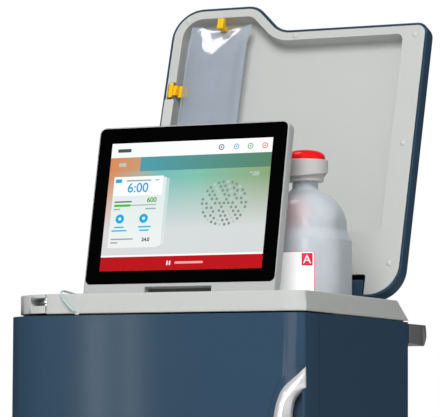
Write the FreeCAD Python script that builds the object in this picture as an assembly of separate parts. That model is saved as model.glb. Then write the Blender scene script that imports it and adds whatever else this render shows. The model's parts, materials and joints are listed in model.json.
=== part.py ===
"""Compact haemodialysis machine: a wheeled cabinet with a front door, a lid, a touch display and a bottle bay.

Millimetres, +Z up, the operator stands on the -Y side. While the pieces are made, Y = 0 is the plane of the
sharp corner crease of the front and Z = 0 is the floor. The finished part is moved so that its origin is at
the bottom centre of its bounding box.
"""
import FreeCAD
import Part
import math
import os

V = FreeCAD.Vector
X_AXIS = V(1, 0, 0)
Y_AXIS = V(0, 1, 0)
Z_AXIS = V(0, 0, 1)

# Cabinet
cabinet_width = 470.0
cabinet_depth = 370.0
deck_z = 790.0
crease_drop = 9.0
right_corner_radius = 75.0
left_corner_radius = 80.0
rear_corner_radius = 4.0
panel_wall = 3.0
shell_wall = 2.5
door_return = 43.0
seam_gap = 1.5
door_bottom_z = 299.5
door_top_gap = 2.3
lower_panel_bottom_z = 134.0
lower_panel_top_z = 292.0
shell_flange_width = 24.0
fit_gap = 0.3
running_gap = 0.05

# Door
door_axis_inset = 6.0
door_axis_y = 69.0
door_barrel_radius = 6.0
door_pin_radius = 3.0
door_pin_depth = 18.0
door_liner_wall = 3.0
gasket_width = 7.0
gasket_height = 1.2
pull_half_height = 86.0
pull_half_width = 52.0
pull_band_side = 21.0
pull_band_end = 31.0
pull_thickness = 12.0
pull_proud = 5.0
pull_centre_drop = 158.0
pull_bevel = 3.5
pocket_depth = 11.0

# Deck
deck_height = 27.3
deck_rear_run = 45.0
deck_left_inset = 10.0
deck_corner_radius = 85.0
deck_wall = 3.0
deck_rim = 8.0
deck_recess = 8.0
deck_band_start_x = -152.0
deck_edge_radius = 1.6
corner_block_gap = 1.2
corner_block_lift = 1.2
corner_block_depth = 58.0
catch_slot_x0 = -181.0
catch_slot_z0 = 11.5
catch_slot_height = 11.0
catch_slot_depth = 16.0
catch_pin_radius = 3.6

# Bottle and its well
bottle_x = 157.0
bottle_y = 175.0
bottle_width = 121.0
bottle_corner_radius = 46.0
bottle_sink = 75.0
bottle_ledge_z = deck_z + 106.0
bottle_ledge_height = 14.6
bottle_ledge_inset = 6.4
bottle_top_z = deck_z + 175.0
bottle_dome = ((60.5, 60.0), (49.9, 23.5), (18.0, 0.0))
bottle_neck_radius = 18.0
well_clearance = 2.5
well_wall = 2.2
well_lip = 5.0
well_lip_sink = 1.6
collar_z = deck_z + 186.8
collar_low_radius = 25.9
collar_radius = 31.7
collar_step_height = 12.6
collar_height = 30.0
cap_radius = 27.9
cap_height = 14.6
cap_side_height = 3.0
bottle_lift = 85.0

# Display
display_x = 26.5
display_foot_y = 45.0
display_foot_rise = 60.2
display_tilt = 11.8
active_width = 246.0
active_height = 184.5
glass_width = 286.4
glass_height = 225.0
glass_below_active = 18.5
glass_thickness = 1.6
case_margin = 2.2
case_thickness = 18.0
case_corner_radius = 10.0
case_wall = 2.4
pivot_below_active = 34.0
pivot_radius = 2.5
ear_radius = 6.5
ear_thickness = 12.0
ear_spacing = 190.0
foot_slot_width = 101.0
foot_slot_height = 11.0
foot_trough_depth = 11.0
foot_trough_length = 36.0

# Lid, in its own plane: x across, s up the plane from the deck, t behind the flange
lid_foot_y = 330.0
lid_lean = 16.6
lid_left_x = -187.2
lid_right_x = 234.0
lid_bottom_s = 6.0
lid_low_top_s = 434.8
lid_high_top_s = 478.5
lid_step_x = -25.5
lid_step_s = 455.8
lid_rim = 4.0
lid_depth = 32.0
lid_wall = 3.0
lid_back_radius = 13.0
lid_top_left_radius = 49.0
lid_top_right_radius = 18.0
lid_foot_radius = 48.0
lid_step_convex = 36.0
lid_step_concave = 36.0
flange_left = 18.5
flange_right = 39.0
flange_top = 17.0
flange_bottom = 102.0
recess_depth = 26.0
recess_corner_radius = 7.0
liner_wall = 2.6
flange_wall = 3.5
lid_closing_angle = 45.0
hinge_inset = 14.0
hinge_rise = 14.0
lid_hinge_pin_radius = 3.0
lid_knuckle_radius = 7.0
lid_knuckle_length = 57.5
hinge_cheek_top = 33.5
hinge_plate_inset = 2.2
hinge_plate = 2.6
notch_left_x = 118.0
notch_right_x = 177.5
notch_height = 39.0
screw_head_radius = 4.6
screw_head_height = 1.8
screw_shank_radius = 2.0
cover_strip_width = 17.0
cover_strip_top_s = 329.0
cover_strip_bottom_s = 52.0
cover_strip_height = 3.0

# Bag and its hooks
bag_left_x = -160.5
bag_width = 106.0
bag_top_s = 448.0
bag_height = 292.0
bag_thickness = 33.0
bag_back_gap = 1.0
hook_x = -100.8
hook_s = 447.0
hook_width = 10.0
hook_reach = 39.0
hook_height = 17.0
clip_s = 344.0
clip_height = 24.0
clip_bar_width = 8.0
clip_sheet = 2.8
clip_floor_gap = 1.2

# Push handle
push_handle_height = 30.0
push_handle_drop = 4.0
push_handle_reach = 92.0
push_handle_bar = 17.0
push_handle_grip = 32.0
push_handle_nose = 18.0
push_handle_half_width = 235.0
push_handle_corner = 12.0
handle_pad = 3.0

# Treatment panel and what it carries
treatment_y = 96.0
treatment_wall = 4.0
pump_x = -62.0
pump_z = 640.0
pump_housing_width = 118.0
pump_housing_height = 112.0
pump_housing_depth = 44.0
raceway_radius = 46.0
raceway_depth = 34.0
pump_tube_radius = 3.4
rotor_hub_radius = 15.0
roller_radius = 8.5
roller_orbit = 29.5
roller_length = 20.0
rotor_plate = 3.0
shaft_radius = 5.0
filter_x = 122.0
filter_z0 = 372.0
filter_length = 268.0
filter_radius = 19.5
filter_cap_radius = 24.0
clamp_x = 30.0
clamp_block = 34.0
clamp_slot = 8.0
plunger_radius = 5.0
clamp_travel = 4.0
artery_clamp_z = 520.0
vein_clamp_z = 440.0
detector_z = 590.0

# Chassis and casters
chassis_bottom_z = 95.0
chassis_top_z = 131.0
chassis_wall = 3.0
caster_x = 182.0
caster_front_y = 70.0
caster_rear_y = 302.0
caster_trail = 20.0
wheel_radius = 37.5
wheel_width = 24.0
tyre_thickness = 9.0
axle_radius = 4.0
fork_leg = 3.0
fork_gap = 4.0
stem_radius = 5.0
stem_length = 24.0
socket_radius = 11.0
pedal_axis_back = 33.0
pedal_axis_z = 66.0
pedal_pin_radius = 2.5
pedal_length = 30.0

# Thin clear tube over the deck's front edge, from its port to the notch in the band
tube_diameter = 3.0
tube_route = [
    (-128.5, 76.0, deck_z + 25.4),
    (-128.0, 54.0, deck_z + 26.4),
    (-127.4, 30.0, deck_z + 28.8),
    (-127.2, 8.0, deck_z + 31.0),
    (-127.2, -6.5, deck_z + 31.6),
    (-126.2, -13.6, deck_z + 27.0),
    (-121.0, -13.6, deck_z + 19.0),
    (-112.0, -13.6, deck_z + 9.0),
    (-104.5, -12.0, deck_z + 2.4),
    (-102.5, -4.5, deck_z + 1.4),
]
tube_port_radius = 4.0

half_width = cabinet_width / 2
front_y = -crease_drop
deck_top_z = deck_z + deck_height
door_top_z = deck_z - door_top_gap
shell_top_z = door_top_z + fit_gap
deck_floor_z = deck_top_z - deck_recess
door_axis_x = -half_width + door_axis_inset
shell_left_y = door_axis_y + door_barrel_radius + seam_gap
shell_right_y = door_return + seam_gap
corner_turn = math.acos(1 - crease_drop / right_corner_radius)
right_arc_x = half_width - right_corner_radius * math.sin(corner_turn)
right_arc_y = front_y + right_corner_radius
left_arc_x = -half_width + left_corner_radius
left_arc_y = front_y + left_corner_radius

nodes = {}


def keep(name, *shapes):
    """Store the solids of one piece, or of a group of equal pieces, under the piece's name."""
    solids = []
    for shape in shapes:
        solids.extend(shape.Solids)
    nodes[name] = Part.Compound(solids) if len(solids) > 1 else solids[0]


def box(x0, x1, y0, y1, z0, z1):
    return Part.makeBox(x1 - x0, y1 - y0, z1 - z0, V(x0, y0, z0))


def rod(radius, start, axis, length):
    return Part.makeCylinder(radius, length, V(*start), axis)


def rounded_wire(corners, place):
    """A closed wire through (u, v, radius) corners, joined by lines and tangent arcs."""
    count = len(corners)
    arcs = []
    for i in range(count):
        u, v, radius = corners[i]
        here = V(u, v, 0)
        before = (V(corners[i - 1][0], corners[i - 1][1], 0) - here).normalize()
        after = (V(corners[(i + 1) % count][0], corners[(i + 1) % count][1], 0) - here).normalize()
        if radius <= 0:
            arcs.append((here, None, here))
            continue
        half = math.acos(max(-1.0, min(1.0, before.dot(after)))) / 2
        bisector = (before + after).normalize()
        reach = radius / math.tan(half)
        centre = here + bisector * (radius / math.sin(half))
        arcs.append((here + before * reach, centre - bisector * radius, here + after * reach))
    edges = []
    for i in range(count):
        start, middle, end = arcs[i]
        if middle is not None:
            edges.append(Part.Arc(place(start), place(middle), place(end)).toShape())
        following = arcs[(i + 1) % count][0]
        if (following - end).Length > 1e-6:
            edges.append(Part.makeLine(place(end), place(following)))
    return Part.Wire(edges)


def prism_z(corners, z0, z1):
    face = Part.Face(rounded_wire(corners, lambda p: V(p.x, p.y, z0)))
    return face.extrude(V(0, 0, z1 - z0))


def prism_y(corners, y0, y1):
    """An outline of (x, z, radius) corners drawn through from y0 to y1."""
    face = Part.Face(rounded_wire(corners, lambda p: V(p.x, y0, p.y)))
    return face.extrude(V(0, y1 - y0, 0))


def prism_x(corners, x0, x1):
    """An outline of (y, z, radius) corners drawn through from x0 to x1."""
    face = Part.Face(rounded_wire(corners, lambda p: V(x0, p.x, p.y)))
    return face.extrude(V(x1 - x0, 0, 0))


def rectangle(u0, u1, v0, v1, radius=0.0):
    return [(u0, v0, radius), (u1, v0, radius), (u1, v1, radius), (u0, v1, radius)]


def round_edges(shape, radius, chosen):
    """Fillet the edges that the test picks."""
    edges = [edge for edge in shape.Edges if chosen(edge)]
    return shape.makeFillet(radius, edges)


def bevel_edges(shape, size, chosen):
    """Chamfer the edges that the test picks."""
    return shape.makeChamfer(size, [edge for edge in shape.Edges if chosen(edge)])


def middle_of(edge):
    return edge.valueAt((edge.FirstParameter + edge.LastParameter) / 2)


def flat_at(z, edge):
    box_of = edge.BoundBox
    return abs(box_of.ZMin - z) < 0.01 and abs(box_of.ZMax - z) < 0.01


# Plan outline of the front, shared by door, lower panel, deck and chassis


def front_edges(inset, z, y_right, y_left, right_x=None):
    """Edges from the right side round the front to the left side, set in by a distance."""
    side_x = half_width - inset
    reach = right_corner_radius - inset
    crease_y = right_arc_y - math.sqrt(reach ** 2 - (side_x - right_arc_x) ** 2)
    crease = V(side_x, crease_y, z)
    turn = math.asin((side_x - right_arc_x) / reach) / 2
    right_mid = V(right_arc_x + reach * math.sin(turn), right_arc_y - reach * math.cos(turn), z)
    right_end = V(right_arc_x, front_y + inset, z)
    left_reach = left_corner_radius - inset
    left_start = V(left_arc_x, front_y + inset, z)
    diagonal = left_reach * math.sqrt(0.5)
    left_mid = V(left_arc_x - diagonal, left_arc_y - diagonal, z)
    left_end = V(left_arc_x - left_reach, left_arc_y, z)
    edges = [Part.makeLine(V(side_x, y_right, z), crease)]
    edges.append(Part.Arc(crease, right_mid, right_end).toShape())
    edges.append(Part.makeLine(right_end, left_start))
    edges.append(Part.Arc(left_start, left_mid, left_end).toShape())
    if y_left - left_arc_y > 1e-6:
        edges.append(Part.makeLine(left_end, V(left_end.x, y_left, z)))
    return edges


def front_block(inset, z0, z1, y_right, y_left, back):
    """A block behind the front outline, closed by the points given from left to right."""
    edges = front_edges(inset, z0, y_right, y_left)
    points = [V(-half_width + inset, y_left, z0)]
    points += [V(x, y, z0) for x, y in back]
    points.append(V(half_width - inset, y_right, z0))
    for start, end in zip(points, points[1:]):
        edges.append(Part.makeLine(start, end))
    return Part.Face(Part.Wire(edges)).extrude(V(0, 0, z1 - z0))


# Door


def door_back(y_shift):
    """Back line of the door from its hinge side to its pull side."""
    return [(-half_width + 18.0, left_arc_y + y_shift), (-half_width + 40.0, door_return + y_shift)]


def make_door():
    shell = front_block(0.0, door_bottom_z, door_top_z, door_return, left_arc_y, door_back(0.0))
    behind = 60.0
    cavity = front_block(
        panel_wall,
        door_bottom_z + panel_wall,
        door_top_z - panel_wall,
        door_return + behind,
        left_arc_y + behind,
        [],
    )
    shell = shell.cut(cavity)
    height = door_top_z - door_bottom_z
    barrel = rod(door_barrel_radius, (door_axis_x, door_axis_y, door_bottom_z), Z_AXIS, height)
    shell = shell.fuse(barrel)
    bore_radius = door_pin_radius + running_gap
    for z in (door_bottom_z, door_top_z - door_pin_depth - 1):
        shell = shell.cut(rod(bore_radius, (door_axis_x, door_axis_y, z), Z_AXIS, door_pin_depth + 1))
    pocket = half_ellipse(pull_half_width - pull_band_side, pull_half_height - pull_band_end)
    pocket_block = pocket.extrude(V(0, pocket_depth + crease_drop + 1, 0))
    pocket_block.translate(V(0, front_y - 1, 0))
    floor = half_ellipse(
        pull_half_width - pull_band_side + panel_wall,
        pull_half_height - pull_band_end + panel_wall,
    )
    tub = floor.extrude(V(0, pocket_depth + crease_drop + panel_wall, 0))
    tub.translate(V(0, front_y, 0))
    tub = tub.common(front_block(0.5, door_bottom_z, door_top_z, door_return, left_arc_y, door_back(0.0)))
    edge_bar = 5.0
    pocket_block = pocket_block.cut(
        box(half_width - edge_bar, half_width + 1, front_y - 2, door_return, door_bottom_z, door_top_z)
    )
    seat = pull_band(pull_thickness, 0.0)
    shell = shell.fuse(tub).cut(pocket_block)
    shell = shell.cut(seat)
    keep("door_shell", shell.removeSplitter())
    keep("door_handle", make_pull())

    gap = fit_gap
    inner_x = half_width - panel_wall - gap
    back = door_return - 0.1
    hinge_y = left_arc_y - 0.1
    hinge_x = -half_width + 2 * door_barrel_radius + 2.0
    wall = door_liner_wall
    liner = prism_z(
        [
            (hinge_x, hinge_y, 0),
            (-half_width + 18.0, hinge_y, 0),
            (-half_width + 40.0, back, 0),
            (inner_x, back, 0),
            (inner_x, back - wall, 0),
            (-half_width + 38.0, back - wall, 0),
            (-half_width + 16.5, hinge_y - wall, 0),
            (hinge_x, hinge_y - wall, 0),
        ],
        door_bottom_z + panel_wall + gap,
        door_top_z - panel_wall - gap,
    )
    ribs = []
    rib_depth = 9.0
    for i in range(5):
        x = -150.0 + 75.0 * i
        ribs.append(
            box(
                x,
                x + wall,
                back - wall - rib_depth,
                back - wall + 0.5,
                door_bottom_z + 30,
                door_top_z - 30,
            )
        )
    keep("door_liner", liner.multiFuse(ribs).removeSplitter())

    margin = 6.0
    outer = prism_y(
        rectangle(
            -half_width + 46.0,
            inner_x - margin,
            door_bottom_z + margin,
            door_top_z - margin,
            12.0,
        ),
        back,
        back + gasket_height,
    )
    inner = prism_y(
        rectangle(
            -half_width + 46.0 + gasket_width,
            inner_x - margin - gasket_width,
            door_bottom_z + margin + gasket_width,
            door_top_z - margin - gasket_width,
            7.0,
        ),
        back - 1,
        back + gasket_height + 1,
    )
    keep("door_gasket", outer.cut(inner))


def half_ellipse(half_x, half_z):
    """Left half of an ellipse about the pull's centre on the crease, as a face in the XZ plane."""
    centre_z = deck_z - pull_centre_drop
    centre = V(half_width, 0, centre_z)
    major, minor = (half_z, half_x) if half_z > half_x else (half_x, half_z)
    ellipse = Part.Ellipse(
        centre + V(0, 0, major) if half_z > half_x else centre - V(major, 0, 0),
        centre - V(minor, 0, 0) if half_z > half_x else centre + V(0, 0, minor),
        centre,
    )
    disc = Part.Face(Part.Wire([ellipse.toShape()]))
    away = 200.0
    half = box(half_width - 2 * away, half_width, -1, 1, centre_z - away, centre_z + away)
    return disc.common(half)


def pull_band(depth, grow):
    """The C-shaped band between two half ellipses, from its proud face back by a depth."""
    outer = half_ellipse(pull_half_width + grow, pull_half_height + grow)
    inner = half_ellipse(
        pull_half_width - pull_band_side - grow,
        pull_half_height - pull_band_end - grow,
    )
    band = outer.cut(inner)
    solid = band.extrude(V(0, depth, 0))
    solid.translate(V(0, front_y - pull_proud, 0))
    return solid


def make_pull():
    band = pull_band(pull_thickness - fit_gap, -0.15)
    face_y = front_y - pull_proud
    inner_edges = []
    for edge in band.Edges:
        middle = middle_of(edge)
        at_face = abs(middle.y - face_y) < 0.01
        curved = edge.Curve.TypeId != "Part::GeomLine"
        near = half_width - middle.x < pull_half_width - pull_band_side + 2
        if at_face and curved and near:
            inner_edges.append(edge)
    return band.makeChamfer(pull_bevel, inner_edges)


# Cabinet shell, lower front panel, service panel


def make_cabinet():
    r = rear_corner_radius
    outer = prism_z(
        [
            (-half_width, shell_left_y, 0),
            (half_width, shell_left_y, 0),
            (half_width, cabinet_depth, r),
            (-half_width, cabinet_depth, r),
        ],
        chassis_top_z,
        shell_top_z,
    )
    outer = outer.fuse(
        box(0, half_width, shell_right_y, shell_left_y, chassis_top_z, shell_top_z)
    ).removeSplitter()
    w = shell_wall
    flange = shell_flange_width
    inner = prism_z(
        [
            (-half_width + w, -50, 0),
            (half_width - w, -50, 0),
            (half_width - w, cabinet_depth - w, r - w),
            (-half_width + w, cabinet_depth - w, r - w),
        ],
        chassis_top_z + w,
        shell_top_z - w,
    )
    mouth = prism_z(
        [
            (-half_width + flange, -50, 0),
            (half_width - flange, -50, 0),
            (half_width - flange, cabinet_depth - flange, r),
            (-half_width + flange, cabinet_depth - flange, r),
        ],
        chassis_top_z - 1,
        shell_top_z + 1,
    )
    shell = outer.cut(inner).cut(mouth)
    well_half = bottle_width / 2 + well_clearance + well_wall + 2.0
    shell = shell.cut(
        box(
            half_width - flange - 1,
            half_width - w,
            bottle_y - well_half,
            bottle_y + well_half,
            shell_top_z - w - 1,
            shell_top_z + 1,
        )
    )
    window = service_rectangle(-14.0)
    shell = shell.cut(prism_y(window, cabinet_depth - 2 * w, cabinet_depth + 1))
    shell = shell.cut(
        rod(inlet_radius, (inlet_x, cabinet_depth - 2 * w, port_z), Y_AXIS, 4 * w)
    )
    for x in port_places:
        shell = shell.cut(rod(port_radius, (x, cabinet_depth - 2 * w, port_z), Y_AXIS, 4 * w))
    keep("cabinet_shell", shell.removeSplitter())

    louvre_count = 11
    louvre_pitch = 16.0
    panel = prism_y(service_rectangle(0.0), cabinet_depth, cabinet_depth + 2.0)
    for i in range(louvre_count):
        z = service_z0 + 60.0 + louvre_pitch * i
        hood = rod(4.0, (-110.0, cabinet_depth + 2.0, z), X_AXIS, 220.0)
        hood = hood.common(box(-110, 110, cabinet_depth + 1, cabinet_depth + 9, z - 5, z + 5))
        panel = panel.fuse(hood)
    slots = []
    for i in range(louvre_count):
        z = service_z0 + 60.0 + louvre_pitch * i
        hollow = rod(2.8, (-108.0, cabinet_depth + 2.0, z), X_AXIS, 216.0)
        mouth_slot = box(-108, 108, cabinet_depth - 1, cabinet_depth + 9, z - 4.6, z)
        slots.append(hollow)
        slots.append(mouth_slot)
    for slot in slots:
        panel = panel.cut(slot)
    keep("rear_service_panel", panel.removeSplitter())

    lower = front_block(
        0.0, lower_panel_bottom_z, lower_panel_top_z, door_return, shell_left_y - seam_gap, []
    )
    hollow = front_block(
        panel_wall,
        lower_panel_bottom_z + panel_wall,
        lower_panel_top_z - panel_wall,
        door_return + 60,
        shell_left_y + 60,
        [],
    )
    middle = front_block(
        flange,
        lower_panel_bottom_z - 1,
        lower_panel_top_z - panel_wall + 1,
        door_return + 60,
        shell_left_y + 60,
        [],
    )
    keep("lower_front_panel", lower.cut(hollow).cut(middle).removeSplitter())


service_z0 = 330.0
service_z1 = 690.0
service_half_width = 150.0
inlet_x = -150.0
inlet_radius = 17.0
port_radius = 11.0
spigot_radius = 7.0
spigot_reach = 26.0
port_z = 190.0
port_places = (60.0, 120.0)


def service_rectangle(grow):
    return rectangle(
        -service_half_width - grow,
        service_half_width + grow,
        service_z0 - grow,
        service_z1 + grow,
        14.0,
    )


# Deck, corner block, bottle well


def deck_block(inset, z0, z1, rear_y):
    """The deck's plan outline, rounded at the left front, flush with the cabinet at the right."""
    left = -half_width + deck_left_inset + inset
    radius = deck_corner_radius - inset
    side_x = half_width - inset
    reach = right_corner_radius - inset
    crease_y = right_arc_y - math.sqrt(reach ** 2 - (side_x - right_arc_x) ** 2)
    turn = math.asin((side_x - right_arc_x) / reach) / 2
    front = front_y + inset
    diagonal = radius * math.sqrt(0.5)
    centre = (left + radius, front + radius)
    crease = V(side_x, crease_y, z0)
    arc_mid = V(right_arc_x + reach * math.sin(turn), right_arc_y - reach * math.cos(turn), z0)
    arc_end = V(right_arc_x, front, z0)
    edges = [
        Part.makeLine(V(side_x, rear_y, z0), crease),
        Part.Arc(crease, arc_mid, arc_end).toShape(),
        Part.makeLine(arc_end, V(centre[0], front, z0)),
        Part.Arc(
            V(centre[0], front, z0),
            V(centre[0] - diagonal, centre[1] - diagonal, z0),
            V(left, centre[1], z0),
        ).toShape(),
        Part.makeLine(V(left, centre[1], z0), V(left, rear_y, z0)),
        Part.makeLine(V(left, rear_y, z0), V(side_x, rear_y, z0)),
    ]
    return Part.Face(Part.Wire(edges)).extrude(V(0, 0, z1 - z0))


def corner_region(grow):
    """The space that the corner block takes out of the deck's front left corner."""
    return box(
        -half_width - 1,
        deck_band_start_x + grow,
        front_y - 1,
        corner_block_depth + grow,
        deck_z - 1,
        deck_top_z + 1,
    )


def well_lip_outline(grow):
    """The flange of the bottle well, which lies in a shallow pocket of the deck's floor."""
    reach = bottle_width / 2 + well_clearance + well_wall + well_lip + grow
    right = min(reach, half_width - deck_rim - bottle_x - 0.5 + grow)
    return rectangle(
        bottle_x - reach,
        bottle_x + right,
        bottle_y - reach,
        bottle_y + reach,
        bottle_corner_radius,
    )


def make_deck():
    deck = deck_block(0.0, deck_z, deck_top_z, cabinet_depth - 1)
    rear = cabinet_depth - 1
    slant = prism_x(
        [
            (rear - deck_rear_run, deck_top_z, 0),
            (rear + 0.01, deck_z, 0),
            (rear + 30, deck_z, 0),
            (rear + 30, deck_top_z + 30, 0),
            (rear - deck_rear_run, deck_top_z + 30, 0),
        ],
        -half_width - 1,
        half_width + 1,
    )
    deck = deck.cut(slant)
    deck = round_edges(
        deck,
        deck_edge_radius,
        lambda edge: flat_at(deck_top_z, edge) and middle_of(edge).y < rear - deck_rear_run - 1,
    )
    underside = deck_block(deck_wall, deck_z - 1, deck_floor_z - deck_wall, rear - deck_rear_run)
    deck = deck.cut(underside)
    recess = deck_block(deck_rim, deck_floor_z, deck_top_z + 1, rear - deck_rear_run - 6)
    hinge_land = box(-half_width, half_width, rear - deck_rear_run - 30, rear, deck_floor_z, deck_top_z)
    deck = deck.cut(recess.cut(hinge_land))
    # Trough for the display's foot
    trough_y0 = pivot_y - foot_trough_length / 2
    trough_x = glass_width / 2 + case_margin + 3
    trough_box = prism_z(
        rectangle(
            display_x - trough_x - deck_wall,
            display_x + trough_x + deck_wall,
            trough_y0 - deck_wall,
            trough_y0 + foot_trough_length + deck_wall,
            6.0,
        ),
        pivot_z - foot_trough_depth - deck_wall,
        deck_floor_z,
    )
    trough = prism_z(
        rectangle(
            display_x - trough_x,
            display_x + trough_x,
            trough_y0,
            trough_y0 + foot_trough_length,
            3.0,
        ),
        pivot_z - foot_trough_depth,
        deck_top_z + 1,
    )
    deck = deck.fuse(trough_box).cut(trough)
    # Mouth for the bottle well
    half = bottle_width / 2 + well_clearance + well_wall + fit_gap
    deck = deck.cut(
        prism_z(
            rectangle(
                bottle_x - half,
                bottle_x + half,
                bottle_y - half,
                bottle_y + half,
                bottle_corner_radius + well_clearance + well_wall + fit_gap,
            ),
            deck_z - 1,
            deck_top_z + 1,
        )
    )
    deck = deck.cut(
        prism_z(
            well_lip_outline(fit_gap),
            deck_floor_z - well_lip_sink,
            deck_floor_z + 1,
        )
    )
    # Skirt that seats on the cabinet's top flange
    skirt = deck_block(deck_wall + 2, shell_top_z, deck_z + 2, rear - 8)
    skirt = skirt.cut(deck_block(2 * deck_wall + 2, shell_top_z - 1, deck_z + 3, rear - 8 - deck_wall))
    skirt = skirt.cut(
        box(-half_width, half_width, -50, shell_left_y + 22, shell_top_z - 1, deck_z + 3)
    )
    web = deck_block(0.5, deck_z, deck_z + 2.5, rear - 4)
    web = web.cut(deck_block(2 * deck_wall + 2, deck_z - 1, deck_z + 3, rear - 8 - deck_wall))
    web = web.cut(box(-half_width, half_width, -50, shell_left_y + 22, deck_z - 1, deck_z + 3))
    deck = deck.fuse(web).fuse(skirt)
    deck = deck.cut(corner_region(corner_block_gap))
    corner_wall = box(
        -half_width + deck_left_inset + deck_wall,
        deck_band_start_x + corner_block_gap + deck_wall,
        corner_block_depth + corner_block_gap,
        corner_block_depth + corner_block_gap + deck_wall,
        deck_z,
        deck_floor_z,
    )
    side_wall = box(
        deck_band_start_x + corner_block_gap,
        deck_band_start_x + corner_block_gap + deck_wall,
        front_y + 2,
        corner_block_depth + corner_block_gap + deck_wall,
        deck_z,
        deck_floor_z,
    )
    deck = deck.fuse(corner_wall).fuse(side_wall)
    # Notch in the band's lower edge where the thin tube goes in
    notch_x = tube_route[-1][0]
    notch_half = tube_diameter / 2 + 2.5
    deck = deck.cut(
        prism_y(
            [
                (notch_x - notch_half, deck_z - 1, 0),
                (notch_x + notch_half, deck_z - 1, 0),
                (notch_x + notch_half, deck_z + 5.0, 2.0),
                (notch_x - notch_half, deck_z + 5.0, 2.0),
            ],
            front_y - 1,
            front_y + deck_wall + 1,
        )
    )
    # Port that the thin tube leaves
    x, y, z = tube_route[0]
    port = box(x - 8, x + 8, y + 0.4, y + 18, deck_floor_z, z + tube_port_radius)
    port = round_edges(port, 2.0, lambda edge: flat_at(z + tube_port_radius, edge))
    deck = deck.fuse(port)
    keep("deck_tray", deck.removeSplitter())

    # Corner block
    block = deck_block(0.0, deck_z + corner_block_lift, deck_top_z, 2 * corner_block_depth)
    block = block.common(corner_region(0.0))
    block = round_edges(block, deck_edge_radius, lambda edge: flat_at(deck_top_z, edge))
    slot = prism_y(
        [
            (catch_slot_x0, deck_z + catch_slot_z0, catch_slot_height / 2 - 0.1),
            (deck_band_start_x + 10, deck_z + catch_slot_z0, 0),
            (deck_band_start_x + 10, deck_z + catch_slot_z0 + catch_slot_height, 0),
            (
                catch_slot_x0,
                deck_z + catch_slot_z0 + catch_slot_height,
                catch_slot_height / 2 - 0.1,
            ),
        ],
        front_y - 5,
        catch_y + catch_slot_depth,
    )
    block = block.cut(slot)
    block = block.cut(
        rod(catch_pin_radius + running_gap, (catch_x, catch_y, deck_z + 4), Z_AXIS, 40)
    )
    cap_space = rod(catch_pin_radius + 3, (catch_x, catch_y, deck_top_z - 1.2), Z_AXIS, 3)
    block = block.cut(cap_space)
    foot = box(
        -half_width + deck_left_inset + 26,
        deck_band_start_x - 6,
        corner_block_depth - 16,
        corner_block_depth + corner_block_gap,
        deck_z + corner_block_lift,
        deck_z + corner_block_lift + 6,
    )
    keep("corner_block", block.fuse(foot).removeSplitter())
    pin = rod(catch_pin_radius, (catch_x, catch_y, deck_z + 4.2), Z_AXIS, deck_height - 4.4)
    head = rod(catch_pin_radius + 2.6, (catch_x, catch_y, deck_top_z - 1.1), Z_AXIS, 1.1)
    collar = rod(catch_pin_radius + 1.6, (catch_x, catch_y, deck_z + catch_slot_z0 + 3.2), Z_AXIS, 6.0)
    collar = bevel_edges(collar, 1.4, lambda edge: edge.Curve.TypeId == "Part::GeomCircle")
    keep("lid_catch_pin", pin.fuse(head).fuse(collar).removeSplitter())

    # Bottle well
    inner_half = bottle_width / 2 + well_clearance
    outer_half = inner_half + well_wall
    floor_z = bottle_floor_z - fit_gap
    lip = prism_z(well_lip_outline(0.0), deck_floor_z - well_lip_sink, deck_floor_z + 0.4)
    cup = prism_z(
        rectangle(
            bottle_x - outer_half,
            bottle_x + outer_half,
            bottle_y - outer_half,
            bottle_y + outer_half,
            bottle_corner_radius + well_clearance + well_wall,
        ),
        floor_z - well_wall,
        deck_floor_z + 0.4,
    )
    space = prism_z(
        rectangle(
            bottle_x - inner_half,
            bottle_x + inner_half,
            bottle_y - inner_half,
            bottle_y + inner_half,
            bottle_corner_radius + well_clearance,
        ),
        floor_z,
        deck_floor_z + 5.0,
    )
    keep("bottle_well", cup.fuse(lip).cut(space).removeSplitter())


# Bottle


bottle_floor_z = deck_top_z - bottle_sink


def bottle_outline(inset):
    """The bottle's rounded square set in by a distance."""
    half = bottle_width / 2 - inset
    return rectangle(
        bottle_x - half,
        bottle_x + half,
        bottle_y - half,
        bottle_y + half,
        bottle_corner_radius - inset,
    )


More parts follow.
